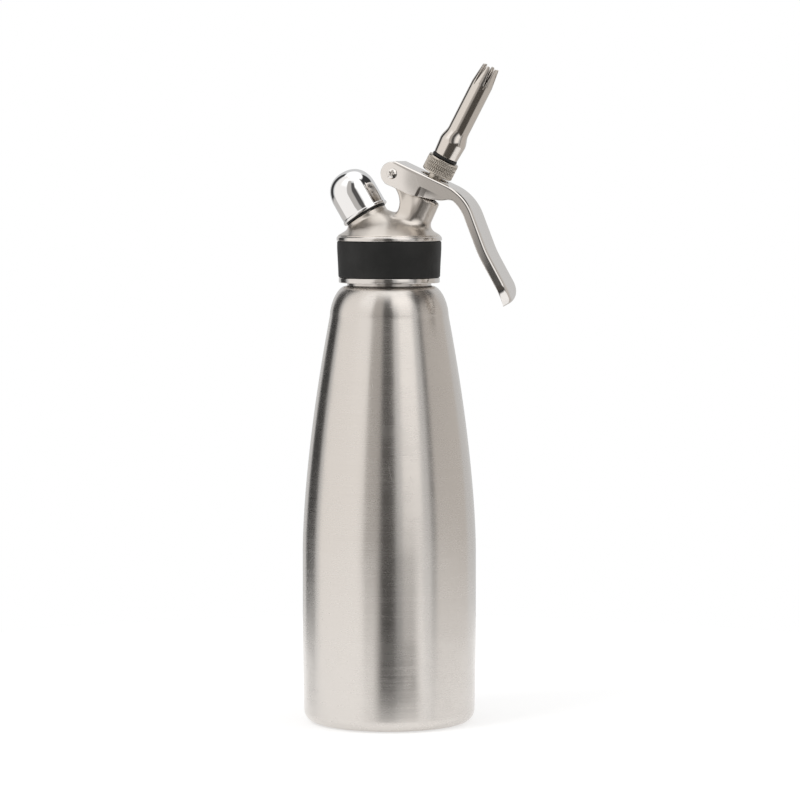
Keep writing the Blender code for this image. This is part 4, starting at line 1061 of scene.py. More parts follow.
def lever_path():
    """The top face's line as straight stretches and arcs, each with the way travelled before it."""
    up = np.array([math.sin(PLATE_SLOPE), math.cos(PLATE_SLOPE)])
    point, slope, so_far, path = up * PLATE_RISE, PLATE_SLOPE, 0.0, []

    def straight(length):
        nonlocal point, so_far
        path.append(("straight", point.copy(), slope, length, so_far))
        point = point + slope_vector(slope) * length
        so_far += length

    def bend(radius, slope_to):
        nonlocal point, slope, so_far
        side = 1 if slope_to > slope else -1
        centre = point - np.array([math.sin(slope), math.cos(slope)]) * radius * side
        path.append(("bend", centre, slope, slope_to, so_far, radius, side))
        point = centre + np.array([math.sin(slope_to), math.cos(slope_to)]) * radius * side
        so_far += radius * abs(slope_to - slope)
        slope = slope_to

    straight(PLATE_LENGTH)
    bend(BEND_RADIUS, HANDLE_SLOPE)
    straight(HANDLE_UPPER)
    bend(FLARE_RADIUS, FLARE_SLOPE)
    straight(HANDLE_LOWER + END_LENGTH)
    return path, so_far


LEVER_PATH, PATH_LENGTH = lever_path()
END_START = PATH_LENGTH - END_LENGTH
BEND_END = PLATE_LENGTH + BEND_RADIUS * (HANDLE_SLOPE - PLATE_SLOPE)


def on_path(x, z):
    """How far along the top face's line a point lies, and how deep under it."""
    best = along = down = None
    for i, piece in enumerate(LEVER_PATH):
        kind, origin, slope = piece[:3]
        dx, dz = x - origin[0], z - origin[1]
        if kind == "straight":
            length, so_far = piece[3:]
            u = slope_vector(slope)
            run = dx * u[0] + dz * u[1]
            low = -1.0 if i == 0 else 0.0
            high = 1.0 if i == len(LEVER_PATH) - 1 else length
            over = run - np.clip(run, low, high)
            depth = -(dx * math.sin(slope) + dz * math.cos(slope))
            gap = np.hypot(over, depth)
            way = so_far + run
        else:
            slope_to, so_far, radius, side = piece[3:]
            reach = np.hypot(dx, dz)
            angle = np.arctan2(dx * side, dz * side)
            turned_slope = np.clip(angle, min(slope, slope_to), max(slope, slope_to))
            depth = (radius - reach) * side
            arm = radius * side
            gap = np.hypot(dx - np.sin(turned_slope) * arm, dz - np.cos(turned_slope) * arm)
            way = so_far + radius * (angle - slope) * side
        if best is None:
            best, along, down = gap, way, depth
        else:
            nearer = gap < best
            best = np.where(nearer, gap, best)
            along = np.where(nearer, way, along)
            down = np.where(nearer, depth, down)
    return along, down


print("the lever's top face is", round(PATH_LENGTH * 1000, 1), "mm long")

# %% [markdown]
# ## The cheeks' depth
#
# Seen from the side, the lever's lower edge is one easy sweep from the lugs to the handle. A smooth curve
# through a few depths gives it, without the bumps that straight stretches would leave.


# %% Depths of the cheeks
def smooth_curve(places, values, at):
    """A curve through a few points, without corners and without overshoot."""
    places, values = np.array(places), np.array(values)
    steps = np.diff(values) / np.diff(places)
    slopes = np.concatenate([[steps[0]], (steps[:-1] + steps[1:]) / 2, [0.0]])
    slopes[1:-1][steps[:-1] * steps[1:] <= 0] = 0
    at = np.clip(at, places[0], places[-1])
    k = np.clip(np.searchsorted(places, at) - 1, 0, len(places) - 2)
    width = places[k + 1] - places[k]
    t = (at - places[k]) / width
    return ((2 * t**3 - 3 * t**2 + 1) * values[k] + (t**3 - 2 * t**2 + t) * width * slopes[k]
            + (3 * t**2 - 2 * t**3) * values[k + 1] + (t**3 - t**2) * width * slopes[k + 1])


CHEEK_PLACES = [-LUG_RADIUS, 0.0, 0.211 * PLATE_LENGTH, 0.381 * PLATE_LENGTH, 0.667 * PLATE_LENGTH,
                PLATE_LENGTH, PLATE_LENGTH + (BEND_END - PLATE_LENGTH) * 0.40, BEND_END]
CHEEK_DEPTHS = [0.0138, 0.0138, 0.0139, 0.0140, 0.0121, 0.0093, FLANGE_DEPTH, FLANGE_DEPTH]
print("the cheeks are", max(CHEEK_DEPTHS) * 1000, "mm deep at most")

# %% [markdown]
# ## The lever's field
#
# The sheet is what lies between an outer and an inner channel. The lugs round the pin are discs, the cheeks
# run back to them in one sweep, and the slot lets the valve's stem through. The far end is curled down.



# %% Press the lever
def lever_field(x, y, z):
    """Negative inside the lever's sheet. The origin is the pin's axis."""
    along, down = on_path(x, z)
    low = smooth_curve(CHEEK_PLACES, CHEEK_DEPTHS, along)
    past = np.clip((along - END_START) / END_LENGTH, 0, 1)
    down = down - END_DROP * (1 - np.sqrt(1 - np.minimum(past, 0.995) ** 2))
    ahead = np.maximum(along - END_START, 0) * (LEVER_HALF / END_LENGTH)
    # The cheek is coined inwards below the slot, which is what darkens its lower corner
    coined = np.clip((along - COIN_START) / 0.0012, 0, 1)
    coined = coined * np.clip((PLATE_LENGTH + 0.002 - along) / 0.012, 0, 1)
    side = np.hypot(ahead, y) - LEVER_HALF + COIN_SLOPE * coined * np.maximum(down - COIN_DEPTH, 0)
    outside = corner(side, -down, LEVER_FOLD)
    lug = np.hypot(x, z) - LUG_RADIUS
    band = np.maximum(np.maximum(down - low, -down), -along - PLATE_REAR)
    cheeks = melt(lug, band, 0.0008)
    outside = meet(outside, cheeks, 0.0005)
    inside = corner(side + SHEET, SHEET - down, LEVER_FOLD - SHEET)
    open_rear = np.maximum(np.abs(y) - LEVER_HALF + SHEET, along + PLATE_REAR)
    inside = melt(inside, open_rear, 0.0003)
    sheet = carve(outside, inside, 0.00045)
    run = np.maximum(np.abs(along - SLOT_AT) - (SLOT_LENGTH - SLOT_WIDTH) / 2, 0)
    slot = np.maximum(np.hypot(run, y) - SLOT_WIDTH / 2, np.abs(down) - 0.004)
    sheet = carve(sheet, slot, 0.0003)
    return carve(sheet, np.hypot(x, z) - PIN_HOLE, 0.0002)


def slot_place():
    """Where the valve's axis crosses the plate's top face, along the plate."""
    down_plate = Vector((math.cos(PLATE_SLOPE), -math.sin(PLATE_SLOPE)))
    up_plate = Vector((math.sin(PLATE_SLOPE), math.cos(PLATE_SLOPE)))
    out = Vector((spout_axis.x, spout_axis.z))
    tower_top = Vector((SPOUT.translation.x - PIVOT_AT.x, SPOUT.translation.z - PIVOT_AT.z))
    reach = (PLATE_RISE - tower_top.dot(up_plate)) / out.dot(up_plate)
    return (tower_top + out * reach).dot(down_plate), reach


SLOT_AT, PLATE_ON_AXIS = slot_place()


def make_lever():
    box = [Vector(c) - PIVOT_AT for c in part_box("lever")]
    low = [c - 8 * LEVER_STEP for c in box[0]]
    high = [c + 3 * LEVER_STEP for c in box[1]]
    return skin("lever_pressed", lever_field, low, high, LEVER_STEP, PIVOT, LEVER_STEEL, 60)


dress(make_lever(), "lever", "lever", "polished_steel")
print("the plate is", round(PLATE_ON_AXIS * 1000, 2), "mm up the valve's axis")

# %% [markdown]
# ## The valve, the knurled adapter and the decorator tip
#
# These ride on the slanted axis. The adapter's knurl is real: two sets of grooves wind round it both ways and
# leave diamonds. The tip is a drawn tube with six slots, whose prongs pipe the cream into a star.

# %% Make the spout's pieces
STEM_RADIUS, STEM_BORE = 0.0040, 0.0026
PLATE_UNDER = PLATE_ON_AXIS - SHEET / math.cos(spout_axis.angle((0, 0, 1)) - PLATE_SLOPE)
ADAPTER_BOTTOM = PLATE_ON_AXIS + 0.0020
ADAPTER_TOP = ADAPTER_BOTTOM + 0.0091
ADAPTER_RADIUS, ADAPTER_LIP = 0.0088, 0.0007
KNURL_DEPTH, KNURLS, KNURL_LEAN, KNURL_WIDTH, KNURL_POINTS = 0.00050, 46, 0.27, 0.62, 7
COLLAR_EDGE, COLLAR_DOME, COLLAR_REACH = 0.0022, 0.018, 0.00825
STEM_FOOT, STEM_BORE_FLOOR = -0.0314, -0.0240
SPIGOT_RADIUS, SPIGOT_HEIGHT = 0.0056, 0.0068
GASKET_RADIUS, GASKET_THICKNESS = 0.00725, 0.0014
TIP_BOTTOM = ADAPTER_TOP + GASKET_THICKNESS + 0.0006
TIP_BASE, TIP_BULGE, TIP_TUBE, TIP_END = 0.0070, 0.0076, 0.0060, 0.0047
BULGE_LENGTH, SHOULDER_LENGTH, TUBE_LENGTH, TIP_LENGTH = 0.0085, 0.0075, 0.0285, 0.0555
TIP_WALL, SLOT_REACH, SLOT_HALF, PRONGS = 0.0010, 0.0125, 0.0015, 6
SOCKET_DEPTH = 0.0080  # how far the adapter's spigot reaches into the tip
TIP_STEP = 0.00021


def collar_height(radius):
    """The height of the collar's dome, which meets the plate's underside at the rim of the lever's slot."""
    return PLATE_UNDER - PLAY - (radius**2 - (SLOT_WIDTH / 2) ** 2) / (2 * COLLAR_DOME)


STEM_SHOULDER = collar_height(COLLAR_REACH) - COLLAR_EDGE


def make_stem():
    """The hollow stem, with the domed collar that the lever presses."""
    top = ADAPTER_TOP + 0.0020
    dome = [STEM_RADIUS + (COLLAR_REACH - STEM_RADIUS) * i / 10 for i in range(1, 10)]
    outside = [
        (STEM_BORE, top, 0),
        (STEM_RADIUS, top, 0.0003),
        (STEM_RADIUS, collar_height(STEM_RADIUS), 0.0002),
        *[(radius, collar_height(radius), 0) for radius in dome],
        (COLLAR_REACH, collar_height(COLLAR_REACH), 0.0004),
        (COLLAR_REACH, STEM_SHOULDER, 0.0003),
        (STEM_RADIUS, STEM_SHOULDER, 0.0002),
        (STEM_RADIUS, STEM_FOOT, 0.0004),
        (0, STEM_FOOT, 0),
    ]
    bore = [(0, STEM_BORE_FLOOR), (STEM_BORE, STEM_BORE_FLOOR)]
    return turn("valve_stem_turned", bore + soften(outside, 0.0002), TURNS_SMALL, SPOUT, NICKEL)


def make_adapter():
    """The knurled adapter, from the spigot inside the tip down to its foot."""
    inner = STEM_RADIUS + PLAY
    top = ADAPTER_TOP + SPIGOT_HEIGHT
    wall_top, wall_low = ADAPTER_TOP - ADAPTER_LIP, ADAPTER_BOTTOM + ADAPTER_LIP
    spigot_root = SPIGOT_RADIUS - 0.0004
    upper = soften([
        (inner, top, 0),
        (spigot_root, top, 0.0004),
        (spigot_root, ADAPTER_TOP + 0.0004, 0.0002),
        (spigot_root + 0.0001, ADAPTER_TOP, 0.0002),
        (ADAPTER_RADIUS - 0.0001, ADAPTER_TOP, 0.0003),
        (ADAPTER_RADIUS, wall_top, 0),
    ], 0.0003)
    wall = dense([(ADAPTER_RADIUS, wall_top), (ADAPTER_RADIUS, wall_low)], 0.00016)
    lower = soften([
        (ADAPTER_RADIUS, wall_low, 0),
        (ADAPTER_RADIUS - 0.0001, ADAPTER_BOTTOM, 0.0004),
        (inner, ADAPTER_BOTTOM, 0),
    ], 0.0003)

    def knurl(radius, height, angles):
        # Diamonds stand where two sets of helical grooves cross, and fade out at both rims
        on_wall = abs(radius - ADAPTER_RADIUS) < 1e-6
        level = (height - ADAPTER_BOTTOM) / ADAPTER_RADIUS * KNURL_LEAN
        first = np.abs(np.sin(KNURLS / 2 * (angles + level)))
        second = np.abs(np.sin(KNURLS / 2 * (angles - level)))
        groove = 1 - np.clip(np.minimum(first, second) / KNURL_WIDTH, 0, 1)
        fade = np.clip(np.minimum(height - wall_low, wall_top - height) / 0.0004, 0, 1)
        return radius - np.where(on_wall, KNURL_DEPTH * groove * fade, 0), height + 0 * angles

    profile = upper + wall[1:] + lower[1:]
    steps = KNURLS * KNURL_POINTS
    return turn("adapter_knurled", profile, steps, SPOUT, NICKEL, ring=True, shape=knurl, angle=75)


def make_gasket():
    low = ADAPTER_TOP + PLAY
    high = low + GASKET_THICKNESS
    inner = SPIGOT_RADIUS + PLAY
    corners = [(inner, high, 0), (GASKET_RADIUS, high, 0.0005), (GASKET_RADIUS, low, 0.0005), (inner, low, 0)]
    profile = soften(corners, 0.0004, 7)
    return turn("tip_gasket_moulded", profile, TURNS_SMALL, SPOUT, RUBBER, ring=True)


print("the adapter's knurl has", KNURLS, "starts")

# %% [markdown]
# ## The decorator tip
#
# The tube swells over the adapter, narrows through a shoulder and tapers to the prongs. Three slots cut right
# across it make six prongs, and each slot widens towards the end, as it does where the prongs are pinched in.


# %% Draw the tip and dress the spout
def tip_radius(height):
    """The tip's outside radius at a height above its base."""
    shoulder = BULGE_LENGTH + SHOULDER_LENGTH
    tube = shoulder + TUBE_LENGTH
    places = [0.0, BULGE_LENGTH, shoulder, tube, TIP_LENGTH]
    ease = (1 - np.cos(math.pi * np.clip((height - BULGE_LENGTH) / SHOULDER_LENGTH, 0, 1))) / 2
    straight = np.interp(height, places, [TIP_BASE, TIP_BULGE, TIP_BULGE, TIP_BULGE, TIP_BULGE])
    narrowed = straight - (TIP_BULGE - TIP_TUBE) * ease
    return narrowed - (TIP_TUBE - TIP_END) * np.clip((height - tube) / (TIP_LENGTH - tube), 0, 1)


def tip_field(x, y, z):
    """Negative inside the tip's wall. The origin is the middle of its base."""
    off = np.sqrt(x * x + y * y)
    outer = off - tip_radius(z)
    bore = np.where(z < SOCKET_DEPTH, SPIGOT_RADIUS + 0.0001, tip_radius(z) - TIP_WALL)
    wall = meet(outer, bore - off, 0.0003)
    wall = meet(wall, np.maximum(z - TIP_LENGTH, -z), 0.0003)
    widening = np.clip((z - TIP_LENGTH + SLOT_REACH) / SLOT_REACH, 0, 1.2) * SLOT_HALF
    for i in range(PRONGS // 2):
        turned_by = 2 * math.pi * i / PRONGS
        across = np.abs(x * math.cos(turned_by) + y * math.sin(turned_by))
        slot = np.maximum(across - widening, TIP_LENGTH - SLOT_REACH - z)
        wall = carve(wall, slot, 0.0003)
    return wall


def make_tip():
    """The tip, set on the adapter."""
    reach = TIP_BULGE + 3 * TIP_STEP
    low, high = (-reach, -reach, -3 * TIP_STEP), (reach, reach, TIP_LENGTH + 3 * TIP_STEP)
    # A screwed tip stops wherever its thread ends. Here that is half a pitch round, with a slot in front
    matrix = SPOUT @ Matrix.Translation((0, 0, TIP_BOTTOM)) @ Matrix.Rotation(math.pi / PRONGS, 4, "Z")
    return skin("decorator_tip_drawn", tip_field, low, high, TIP_STEP, matrix, DRAWN, 60)


dress(make_stem(), "valve_stem", "valve", "polished_steel")
dress(make_adapter(), "tip_adapter", "valve", "knurled_nickel")
dress(make_gasket(), "tip_gasket", "tip_gasket", "black_rubber")
dress(make_tip(), "decorator_tip", "tip", "polished_steel")

# %% [markdown]
# ## The lever's pin and clip
#
# The pin is headed on the near side, where the head was struck into a star, and a spring clip holds it on the
# far side. Both are small, and both are drawn as fields, because a struck star has no profile to turn.

# %% Make the pin and the clip
PIN = PIVOT @ Matrix.Rotation(math.radians(90), 4, "X")  # its Z points to the near side, at the pin's head
PIN_RADIUS, PIN_HEAD_RADIUS, PIN_HEAD, PIN_TAIL = 0.0025, 0.0034, 0.0012, 0.0024
PIN_GROOVE, CLIP_THICKNESS, CLIP_RADIUS, CLIP_MOUTH = 0.0005, 0.0008, 0.0042, 0.0030
HEAD_FROM = LEVER_HALF + PLAY


def pin_field(x, y, z):
    """Negative inside the pin. Its head has a struck star, and its far end a groove for the clip."""
    off = np.hypot(x, y)
    shank = corner(off - PIN_RADIUS, np.abs(z + PIN_TAIL / 2) - HEAD_FROM - PIN_TAIL / 2, 0.0003)
    crown_line = HEAD_FROM + PIN_HEAD - 0.45 * off**2 / PIN_HEAD_RADIUS
    head = np.maximum(corner(off - PIN_HEAD_RADIUS, z - crown_line, 0.0004), HEAD_FROM - z)
    made = np.minimum(shank, head)
    turned_by = np.arctan2(y, x)
    reach = 0.0014 + 0.0007 * np.cos(5 * turned_by + 0.6) + 0.0002 * np.cos(3 * turned_by)
    narrowing = np.clip(1 + (z - HEAD_FROM - PIN_HEAD) / 0.0016, 0.25, 1)
    struck = np.maximum(off - reach * narrowing, HEAD_FROM + 0.0003 - z)
    made = carve(made, struck, 0.00015)
    groove = np.maximum(np.abs(z + HEAD_FROM + CLIP_THICKNESS / 2 + PLAY) - CLIP_THICKNESS / 2 - PLAY,
                        PIN_RADIUS - PIN_GROOVE - off)
    return carve(made, groove, 0.0001)


def clip_field(x, y, z):
    """Negative inside the clip, a stamped ring whose three lugs grip the groove."""
    off, turned_by = np.hypot(x, y), np.arctan2(y, x)
    grip = PIN_RADIUS - PIN_GROOVE + 0.00012
    hollow = grip + 0.0009 * np.clip(1.2 * np.abs(np.sin(1.5 * turned_by)) - 0.25, 0, 1)
    middle = -(LEVER_HALF + 2 * PLAY + CLIP_THICKNESS / 2)
    ring = corner(off - CLIP_RADIUS, np.abs(z - middle) - CLIP_THICKNESS / 2, 0.0002)
    ring = carve(ring, off - hollow, 0.00015)
    mouth = np.maximum(np.abs(y) - CLIP_MOUTH / 2 + 0.0001, -x)
    return carve(ring, mouth, 0.0003)


def small_skin(name, field, reach, low, high, step, matrix, material):
    """The skin of a piece that lies round the matrix's Z axis."""
    return skin(name, field, (-reach, -reach, low), (reach, reach, high), step, matrix, material, 55)


pin = small_skin("lever_pin_struck", pin_field, 0.0038, -HEAD_FROM - PIN_TAIL - 0.0004,
                 HEAD_FROM + PIN_HEAD + 0.0004, 0.00018, PIN, POLISHED)
clip = small_skin("pin_clip_stamped", clip_field, 0.0046, -HEAD_FROM - 0.0016, -HEAD_FROM + 0.0004,
                  0.00016, PIN, WIRE)
dress(pin, "lever_pin", "lever", "polished_steel")
dress(clip, "pin_clip", "lever", "spring_steel")

# %% [markdown]
# ## Springs
#
# Each spring is wire on a helix. The last turn at each end lies flat, as a spring's closed end does.

# %% Wind the springs
GUIDE_HEIGHT = 0.0030  # the stem's guide lies under the spring
SPRING_SEAT = -SPRING_BORE_DEPTH + 2 * PLAY + GUIDE_HEIGHT
POPPET_FACE = NIPPLE_FOOT - PLAY
POPPET_THICKNESS = 0.0016


def wind(name, wire, coil_radius, low, high, turns, matrix):
    """A spring between two heights on the matrix's Z axis. The wire's middle runs on the coil's radius."""
    around, sections = 12, turns * 40 + 1
    way = np.linspace(0, 1, sections)
    angle = 2 * math.pi * turns * way
    closed = 0.75 / turns
    ease = np.clip((way - closed) / (1 - 2 * closed), 0, 1)
    lift_of_closed = wire * np.clip(np.minimum(way, 1 - way) / closed, 0, 1)
    middle = high - low - 3 * wire
    from_low = low + wire / 2 + lift_of_closed + middle * ease
    from_high = high - wire / 2 - lift_of_closed - middle * (1 - ease)
    height = np.where(way < 0.5, from_low, from_high)
    ring = 2 * math.pi * np.arange(around) / around
    radius = coil_radius + wire / 2 * np.cos(ring)[None, :]
    lift = height[:, None] + wire / 2 * np.sin(ring)[None, :]
    points = np.stack([radius * np.cos(angle)[:, None], radius * np.sin(angle)[:, None], lift], axis=-1)
    faces = []
    for i in range(sections - 1):
        for j in range(around):
            here, beside = i * around + j, i * around + (j + 1) % around
            faces.append((here, beside, beside + around, here + around))
    ends = [tuple(range(around)), tuple(range((sections - 1) * around, sections * around))]
    mesh = mesh_from(name, points.reshape(-1, 3), faces + ends)
    return finish_piece(name, mesh, matrix, WIRE)


CHARGE_SEAT = -CHARGE_BORE_DEPTH + PLAY
CHARGE_TOP = POPPET_FACE - POPPET_THICKNESS - PLAY
SPRINGS = (
    # node, wire, coil radius, low end, high end, turns, frame, and the joint that squeezes it
    ("valve_spring", 0.0010, 0.0053, SPRING_SEAT, STEM_SHOULDER - PLAY, 6, SPOUT, "valve_slide"),
    ("charge_spring", 0.0006, 0.0026, CHARGE_SEAT, CHARGE_TOP, 4, GAS, "poppet_slide"),
)
for node, wire, coil_radius, low, high, turns, matrix, joint in SPRINGS:
    piece = wind(node + "_wound", wire, coil_radius, low, high, turns, matrix)
    dress(piece, node, "head", "spring_steel")
    left = 1 - max(JOINTS[joint]["range_m"]) / (high - low)
    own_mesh(piece)
    print(node, "is", round((high - low) * 1000, 1), "mm long and keeps", round(left, 2))

# %% [markdown]
# ## Seals and the parts inside the valves
#
# These are seen when the head is unscrewed, through the bottle's mouth, or when the cap comes off. Every seal
# is a ring with soft moulded corners. The profiles run as (radius, height) in the frame of the axis that they
# sit on.

# %% Make the seals, the guide, the poppet and the piercing pin
SEAL_OUTER, SEAL_INNER, SEAL_HEIGHT = NECK_RADIUS - 0.0002, NECK_RADIUS - 0.0024, 0.0025
GUIDE_LOW = -SPRING_BORE_DEPTH + PLAY
VALVE_SEAT, SEAT_SEAL_HEIGHT, NUT_RADIUS, NUT_HEIGHT = -0.0250, 0.0020, 0.0068, 0.0028


def ring_profile(outer, inner, low, high, round_by):
    """A square ring with its corners rounded, closed in the middle of its inner wall."""
    middle = (inner, (low + high) / 2, 0)
    corners = [middle, (inner, high), (outer, high), (outer, low), (inner, low), middle]
    return soften(corners, round_by, 7)[:-1]


def bead_profile(centre, height, wire):
    """An O-ring's round section, drawn without its last point, which is its first."""
    return arc((centre, height), wire / 2, 0, -2 * math.pi * 23 / 24, 24)


seat_top = VALVE_SEAT - PLAY
nut_top = seat_top - SEAT_SEAL_HEIGHT - PLAY
needle_low = CHARGER_FACE + PLAY
needle_base, needle_tip = needle_low + 0.0015, needle_low + 0.0057
seal_low = needle_low + 0.0015 + PLAY
poppet_top, poppet_low = POPPET_FACE, POPPET_FACE - POPPET_THICKNESS
RINGS = (
    # node, body, frame, material, slot, and the profile's closed ring
    ("head_seal", "head_seal", HEAD, RUBBER, "black_rubber",
     ring_profile(SEAL_OUTER, SEAL_INNER, -PLAY - SEAL_HEIGHT, -PLAY, 0.0006)),
    ("cap_seal", "cap_seal", GAS, RUBBER, "black_rubber",
     ring_profile(BOSS_RADIUS + PLAY, NIPPLE_RADIUS + PLAY, 0.0, 0.0009, 0.0003)),
    ("charger_seal", "head", GAS, RUBBER, "black_rubber",
     ring_profile(0.0044, 0.0019, seal_low, seal_low + 0.0014, 0.0004)),
    ("stem_guide", "head", SPOUT, PLASTIC, "white_plastic",
     ring_profile(SPRING_BORE - PLAY, STEM_RADIUS + PLAY, GUIDE_LOW, GUIDE_LOW + GUIDE_HEIGHT, 0.0003)),
    ("stem_o_ring", "head", SPOUT, RUBBER, "black_rubber",
     bead_profile(STEM_RADIUS + 0.00015 + 0.00055, -0.0180, 0.0011)),
    ("seat_seal", "valve", SPOUT, RUBBER, "black_rubber",
     ring_profile(0.0066, STEM_RADIUS + PLAY, seat_top - SEAT_SEAL_HEIGHT, seat_top, 0.0004)),
)
for node, body, matrix, material, slot, profile in RINGS:
    piece = turn(node + "_moulded", profile, TURNS_SMALL, matrix, material, ring=True, angle=60)
    dress(piece, node, body, slot)

poppet = turn("charge_poppet_moulded", soften([
    (0, poppet_top + 0.0045, 0), (0.0011, poppet_top + 0.0045, 0.0004), (0.0011, poppet_top, 0.0002),
    (0.0046, poppet_top, 0.0004), (0.0046, poppet_low, 0.0003), (0.0016, poppet_low, 0.0002),
    (0.0016, poppet_low - 0.0011, 0.0003), (0, poppet_low - 0.0011, 0)], 0.0003), 64, GAS, RUBBER, angle=60)
needle = turn("piercing_pin_ground", soften([
    (0, needle_tip, 0), (0.0010, needle_tip - 0.0018, 0.0003), (0.0010, needle_base, 0.0002),
    (0.0044, needle_base, 0.0003), (0.0044, needle_low, 0.0002), (0, needle_low, 0)], 0.0002), 64, GAS, WIRE)
dress(poppet, "charge_poppet", "poppet", "black_rubber")
dress(needle, "piercing_pin", "head", "spring_steel")

# %% [markdown]
# ## The foot nut
#
# A hexagon bar is bored and its corners are chamfered at both faces. Six flat limits and two cones say that
# in a few lines, so the nut is a field too.



# %% Mill the nut
def nut_field(x, y, z):
    """Negative inside the foot nut: a hexagon whose corners are chamfered at both faces."""
    off = np.hypot(x, y)
    flat = np.full(np.broadcast(x, y).shape, -1.0)
    for i in range(6):
        turned_by = math.radians(30 + 60 * i)
        flat = np.maximum(flat, x * math.cos(turned_by) + y * math.sin(turned_by))
    flat = flat - NUT_RADIUS * math.cos(math.radians(30))
    level = np.abs(z - nut_top + NUT_HEIGHT / 2)
    made = meet(flat, level - NUT_HEIGHT / 2, 0.0002)
    made = meet(made, off * 0.5 + level * 0.87 - NUT_RADIUS * 0.5 - NUT_HEIGHT * 0.36, 0.0002)
    return carve(made, off - STEM_RADIUS - PLAY, 0.0002)


nut = small_skin("foot_nut_milled", nut_field, 0.0072, nut_top - NUT_HEIGHT - 0.0005, nut_top + 0.0005,
                 0.00022, SPOUT, POLISHED)
dress(nut, "foot_nut", "valve", "polished_steel")

# %% [markdown]
# ## The stage
#
# A white table and a white room. What gives polished steel its look is what it mirrors, so the room that
# mirrors see holds a few soft panels: wide white ones at the sides, grey ones between them, and a dark gap
# where the camera stands. Each panel is a place round the object, counted in degrees from the camera towards
# the right.


# %% Light the room
PANELS = (
    # azimuth and half width, elevation and half height, soft edge, all in degrees, then brightness and warmth
    ("ceiling", 0, 185, 80, 24, 16, 1.35, 0.01),
    ("floor beyond the table", 0, 185, -60, 48, 8, 0.55, 0.04),
    ("far left flag", -131, 15, 22, 36, 5, 0.05, 0.0),
    ("left softbox", -70, 37, 22, 48, 4, 0.96, 0.03),
    ("left softbox's bright top", -50, 20, 46, 18, 14, 1.25, 0.01),
    ("left grey card", -23, 11, 8, 46, 4, 0.48, 0.05),
    ("gap at the camera", -2, 10.5, -20, 66, 5, 0.09, 0.04),
    ("right softbox", 32, 14, 14, 20, 5, 1.12, 0.02),
    ("right softbox's bright top", 30, 24, 41, 14, 8, 1.40, 0.02),
    ("dark floor in front", 4, 44, -24, 16, 7, 0.08, 0.10),
    ("right stand", 63, 5, 16, 46, 4, 0.22, 0.02),
    ("right wall", 97, 31, -2, 32, 6, 0.58, 0.05),
    ("right flag", 98, 36, 43, 14, 5, 0.04, 0.0),
)
ROOM_LEVEL, DIFFUSE_LEVEL = 0.66, 0.74  # what mirrors see behind the panels, and what lights matt faces
LAMP_COLOUR = (1.0, 0.985, 0.965)
TABLE_RADIUS, TABLE_TOP = 0.45, -0.0004


def turned_from_camera(graph, where):
    """The angle of a direction round the object, in degrees from the camera towards the right."""
    forward = Vector((to_camera.x, to_camera.y, 0)).normalized()
    sideways, ahead = (
        graph.add("ShaderNodeVectorMath", {0: where, 1: tuple(way)}, operation="DOT_PRODUCT").outputs["Value"]
        for way in (picture_right, forward)
    )
    return graph.times(graph.math("ARCTAN2", sideways, ahead), 180 / math.pi)


def within(graph, angle, middle, half, edge):
    """A mask that is 1 where the angle lies inside the range, with a soft edge."""
    off = graph.minus(angle, float(middle))
    wrapped = graph.add("ShaderNodeMath", {0: off, 1: 180.0, 2: -180.0}, operation="WRAP").outputs[0]
    return graph.remap(graph.math("ABSOLUTE", wrapped), half + edge / 2, half - edge / 2)


def seen_in_metal(graph, rays):
    """A mask that is 1 for what a mirror or glass shows."""
    return graph.larger(rays["Is Glossy Ray"], rays["Is Transmission Ray"])


def light_room():
    """The white world that the camera sees, and the panelled room that mirrors see."""
    world = bpy.data.worlds.new("white_room")
    bpy.context.scene.world = world
    world.use_nodes = True
    graph = Graph(world.node_tree)
    background = world.node_tree.nodes["Background"]
    looking = graph.add("ShaderNodeTexCoord").outputs["Generated"]
    azimuth = turned_from_camera(graph, looking)
    upward = graph.add("ShaderNodeSeparateXYZ", {"Vector": looking}).outputs["Z"]
    elevation = graph.times(graph.math("ARCSINE", upward), 180 / math.pi)
    room = grey(ROOM_LEVEL)
    for _, middle, half, rise, half_height, edge, level, warmth in PANELS:
        inside = within(graph, elevation, rise, half_height, edge)
        if half < 180:
            inside = graph.times(inside, within(graph, azimuth, middle, half, edge))
        room = graph.mix(inside, room, grey(level, warmth))
    rays = graph.add("ShaderNodeLightPath").outputs
    seen = graph.mix(seen_in_metal(graph, rays), grey(DIFFUSE_LEVEL), room)
    seen = graph.mix(rays["Is Camera Ray"], seen, grey(1.0))
    graph.feed(background.inputs["Color"], seen)
    graph.feed(background.inputs["Strength"], 1.0)


light_room()
print("the room has", len(PANELS), "panels")

# %% [markdown]
# ## Lamps and the table
#
# Two large lamps give matt faces their shade and the table its soft shadow. Mirrors don't see them, because
# the room's panels already are what the steel reflects. The table is white, but what metal shows of its front
# is dark, which grounds the bottle's lower end.


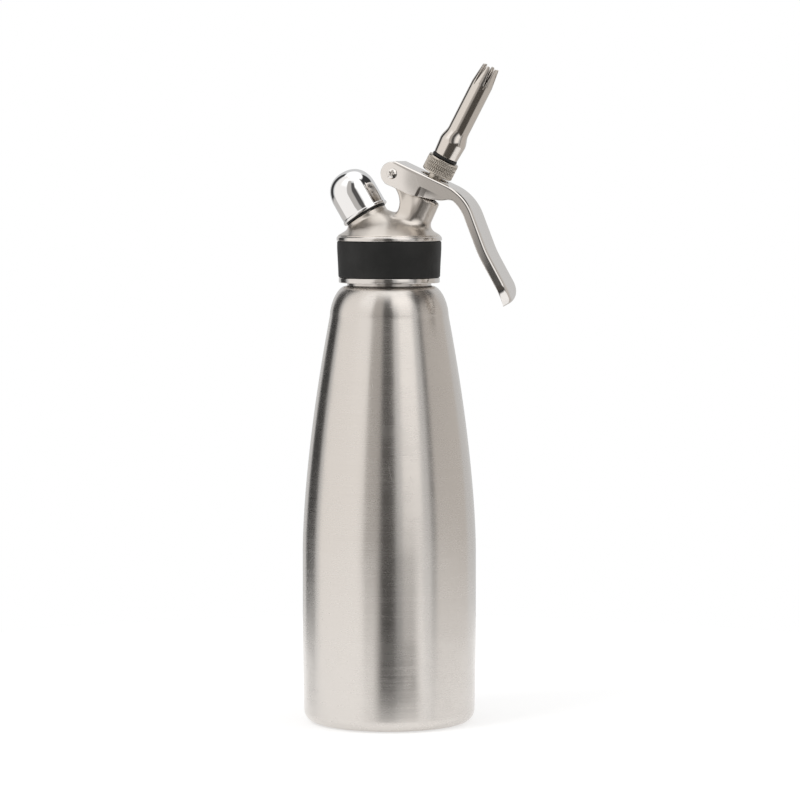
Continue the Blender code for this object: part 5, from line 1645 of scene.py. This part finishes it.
# %% Place the lamps and lay the table
def softbox(name, where, size, power):
    """A round lamp that looks at the middle of the bottle and stays out of reflections."""
    lamp = bpy.data.lights.new(name, "AREA")
    lamp.shape = "DISK"
    lamp.size = size
    lamp.energy = power
    lamp.color = LAMP_COLOUR
    made = bpy.data.objects.new(name, lamp)
    bpy.context.scene.collection.objects.link(made)
    made.location = where
    aim = Vector((0, 0, 0.18)) - Vector(where)
    made.rotation_euler = aim.to_track_quat("-Z", "Y").to_euler()
    made.visible_glossy = False


def lay_table():
    """A white round table that keeps the object's soft shadow. In mirrors it is dark towards the camera."""
    made, graph, shader = principled("white_table")
    rays = graph.add("ShaderNodeLightPath").outputs
    mirrored = seen_in_metal(graph, rays)
    where = graph.place()
    away = graph.add("ShaderNodeVectorMath", {0: where}, operation="LENGTH").outputs["Value"]
    front = within(graph, turned_from_camera(graph, where), 10, 24, 10)
    front = graph.times(front, graph.remap(away, 0.07, 0.13))
    dark = graph.times(front, mirrored)
    bright = graph.larger(rays["Is Camera Ray"], graph.minus(mirrored, dark))
    graph.feed(shader["Roughness"], 0.9)
    graph.feed(shader["Specular IOR Level"], 0.0)
    graph.feed(shader["Emission Color"], grey(1.0))
    graph.feed(shader["Base Color"], graph.mix(dark, grey(0.62), grey(0.05)))
    graph.feed(shader["Emission Strength"], graph.times(bright, 0.50))
    mesh = bpy.data.meshes.new("table")
    disc = bmesh.new()
    bmesh.ops.create_circle(disc, cap_ends=True, radius=TABLE_RADIUS, segments=96)
    disc.to_mesh(mesh)
    disc.free()
    table = bpy.data.objects.new("table", mesh)
    bpy.context.scene.collection.objects.link(table)
    table.location = (0, 0, TABLE_TOP)
    mesh.materials.append(made)
    table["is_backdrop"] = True


softbox("key_left", picture_right * -1.1 + to_camera * 0.9 + Vector((0, 0, 1.3)), 0.9, 9.0)
softbox("fill_right", picture_right * 1.3 + to_camera * 0.4 + Vector((0, 0, 0.9)), 0.9, 4.0)
lay_table()

# %% [markdown]
# ## Keep the sizes and hand over
# The box of the dressed object is printed beside the box of the solids, so that the two can be compared. The
# last line checks every piece and hands the scene over.

# %% Print the sizes
dressed_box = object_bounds()
boxes = (("solids", solids_box), ("dressed", dressed_box))
sizes = {name: [list(corner) for corner in box] for name, box in boxes}
print("solids ", [[round(c, 5) for c in corner] for corner in sizes["solids"]])
print("dressed", [[round(c, 5) for c in corner] for corner in sizes["dressed"]])
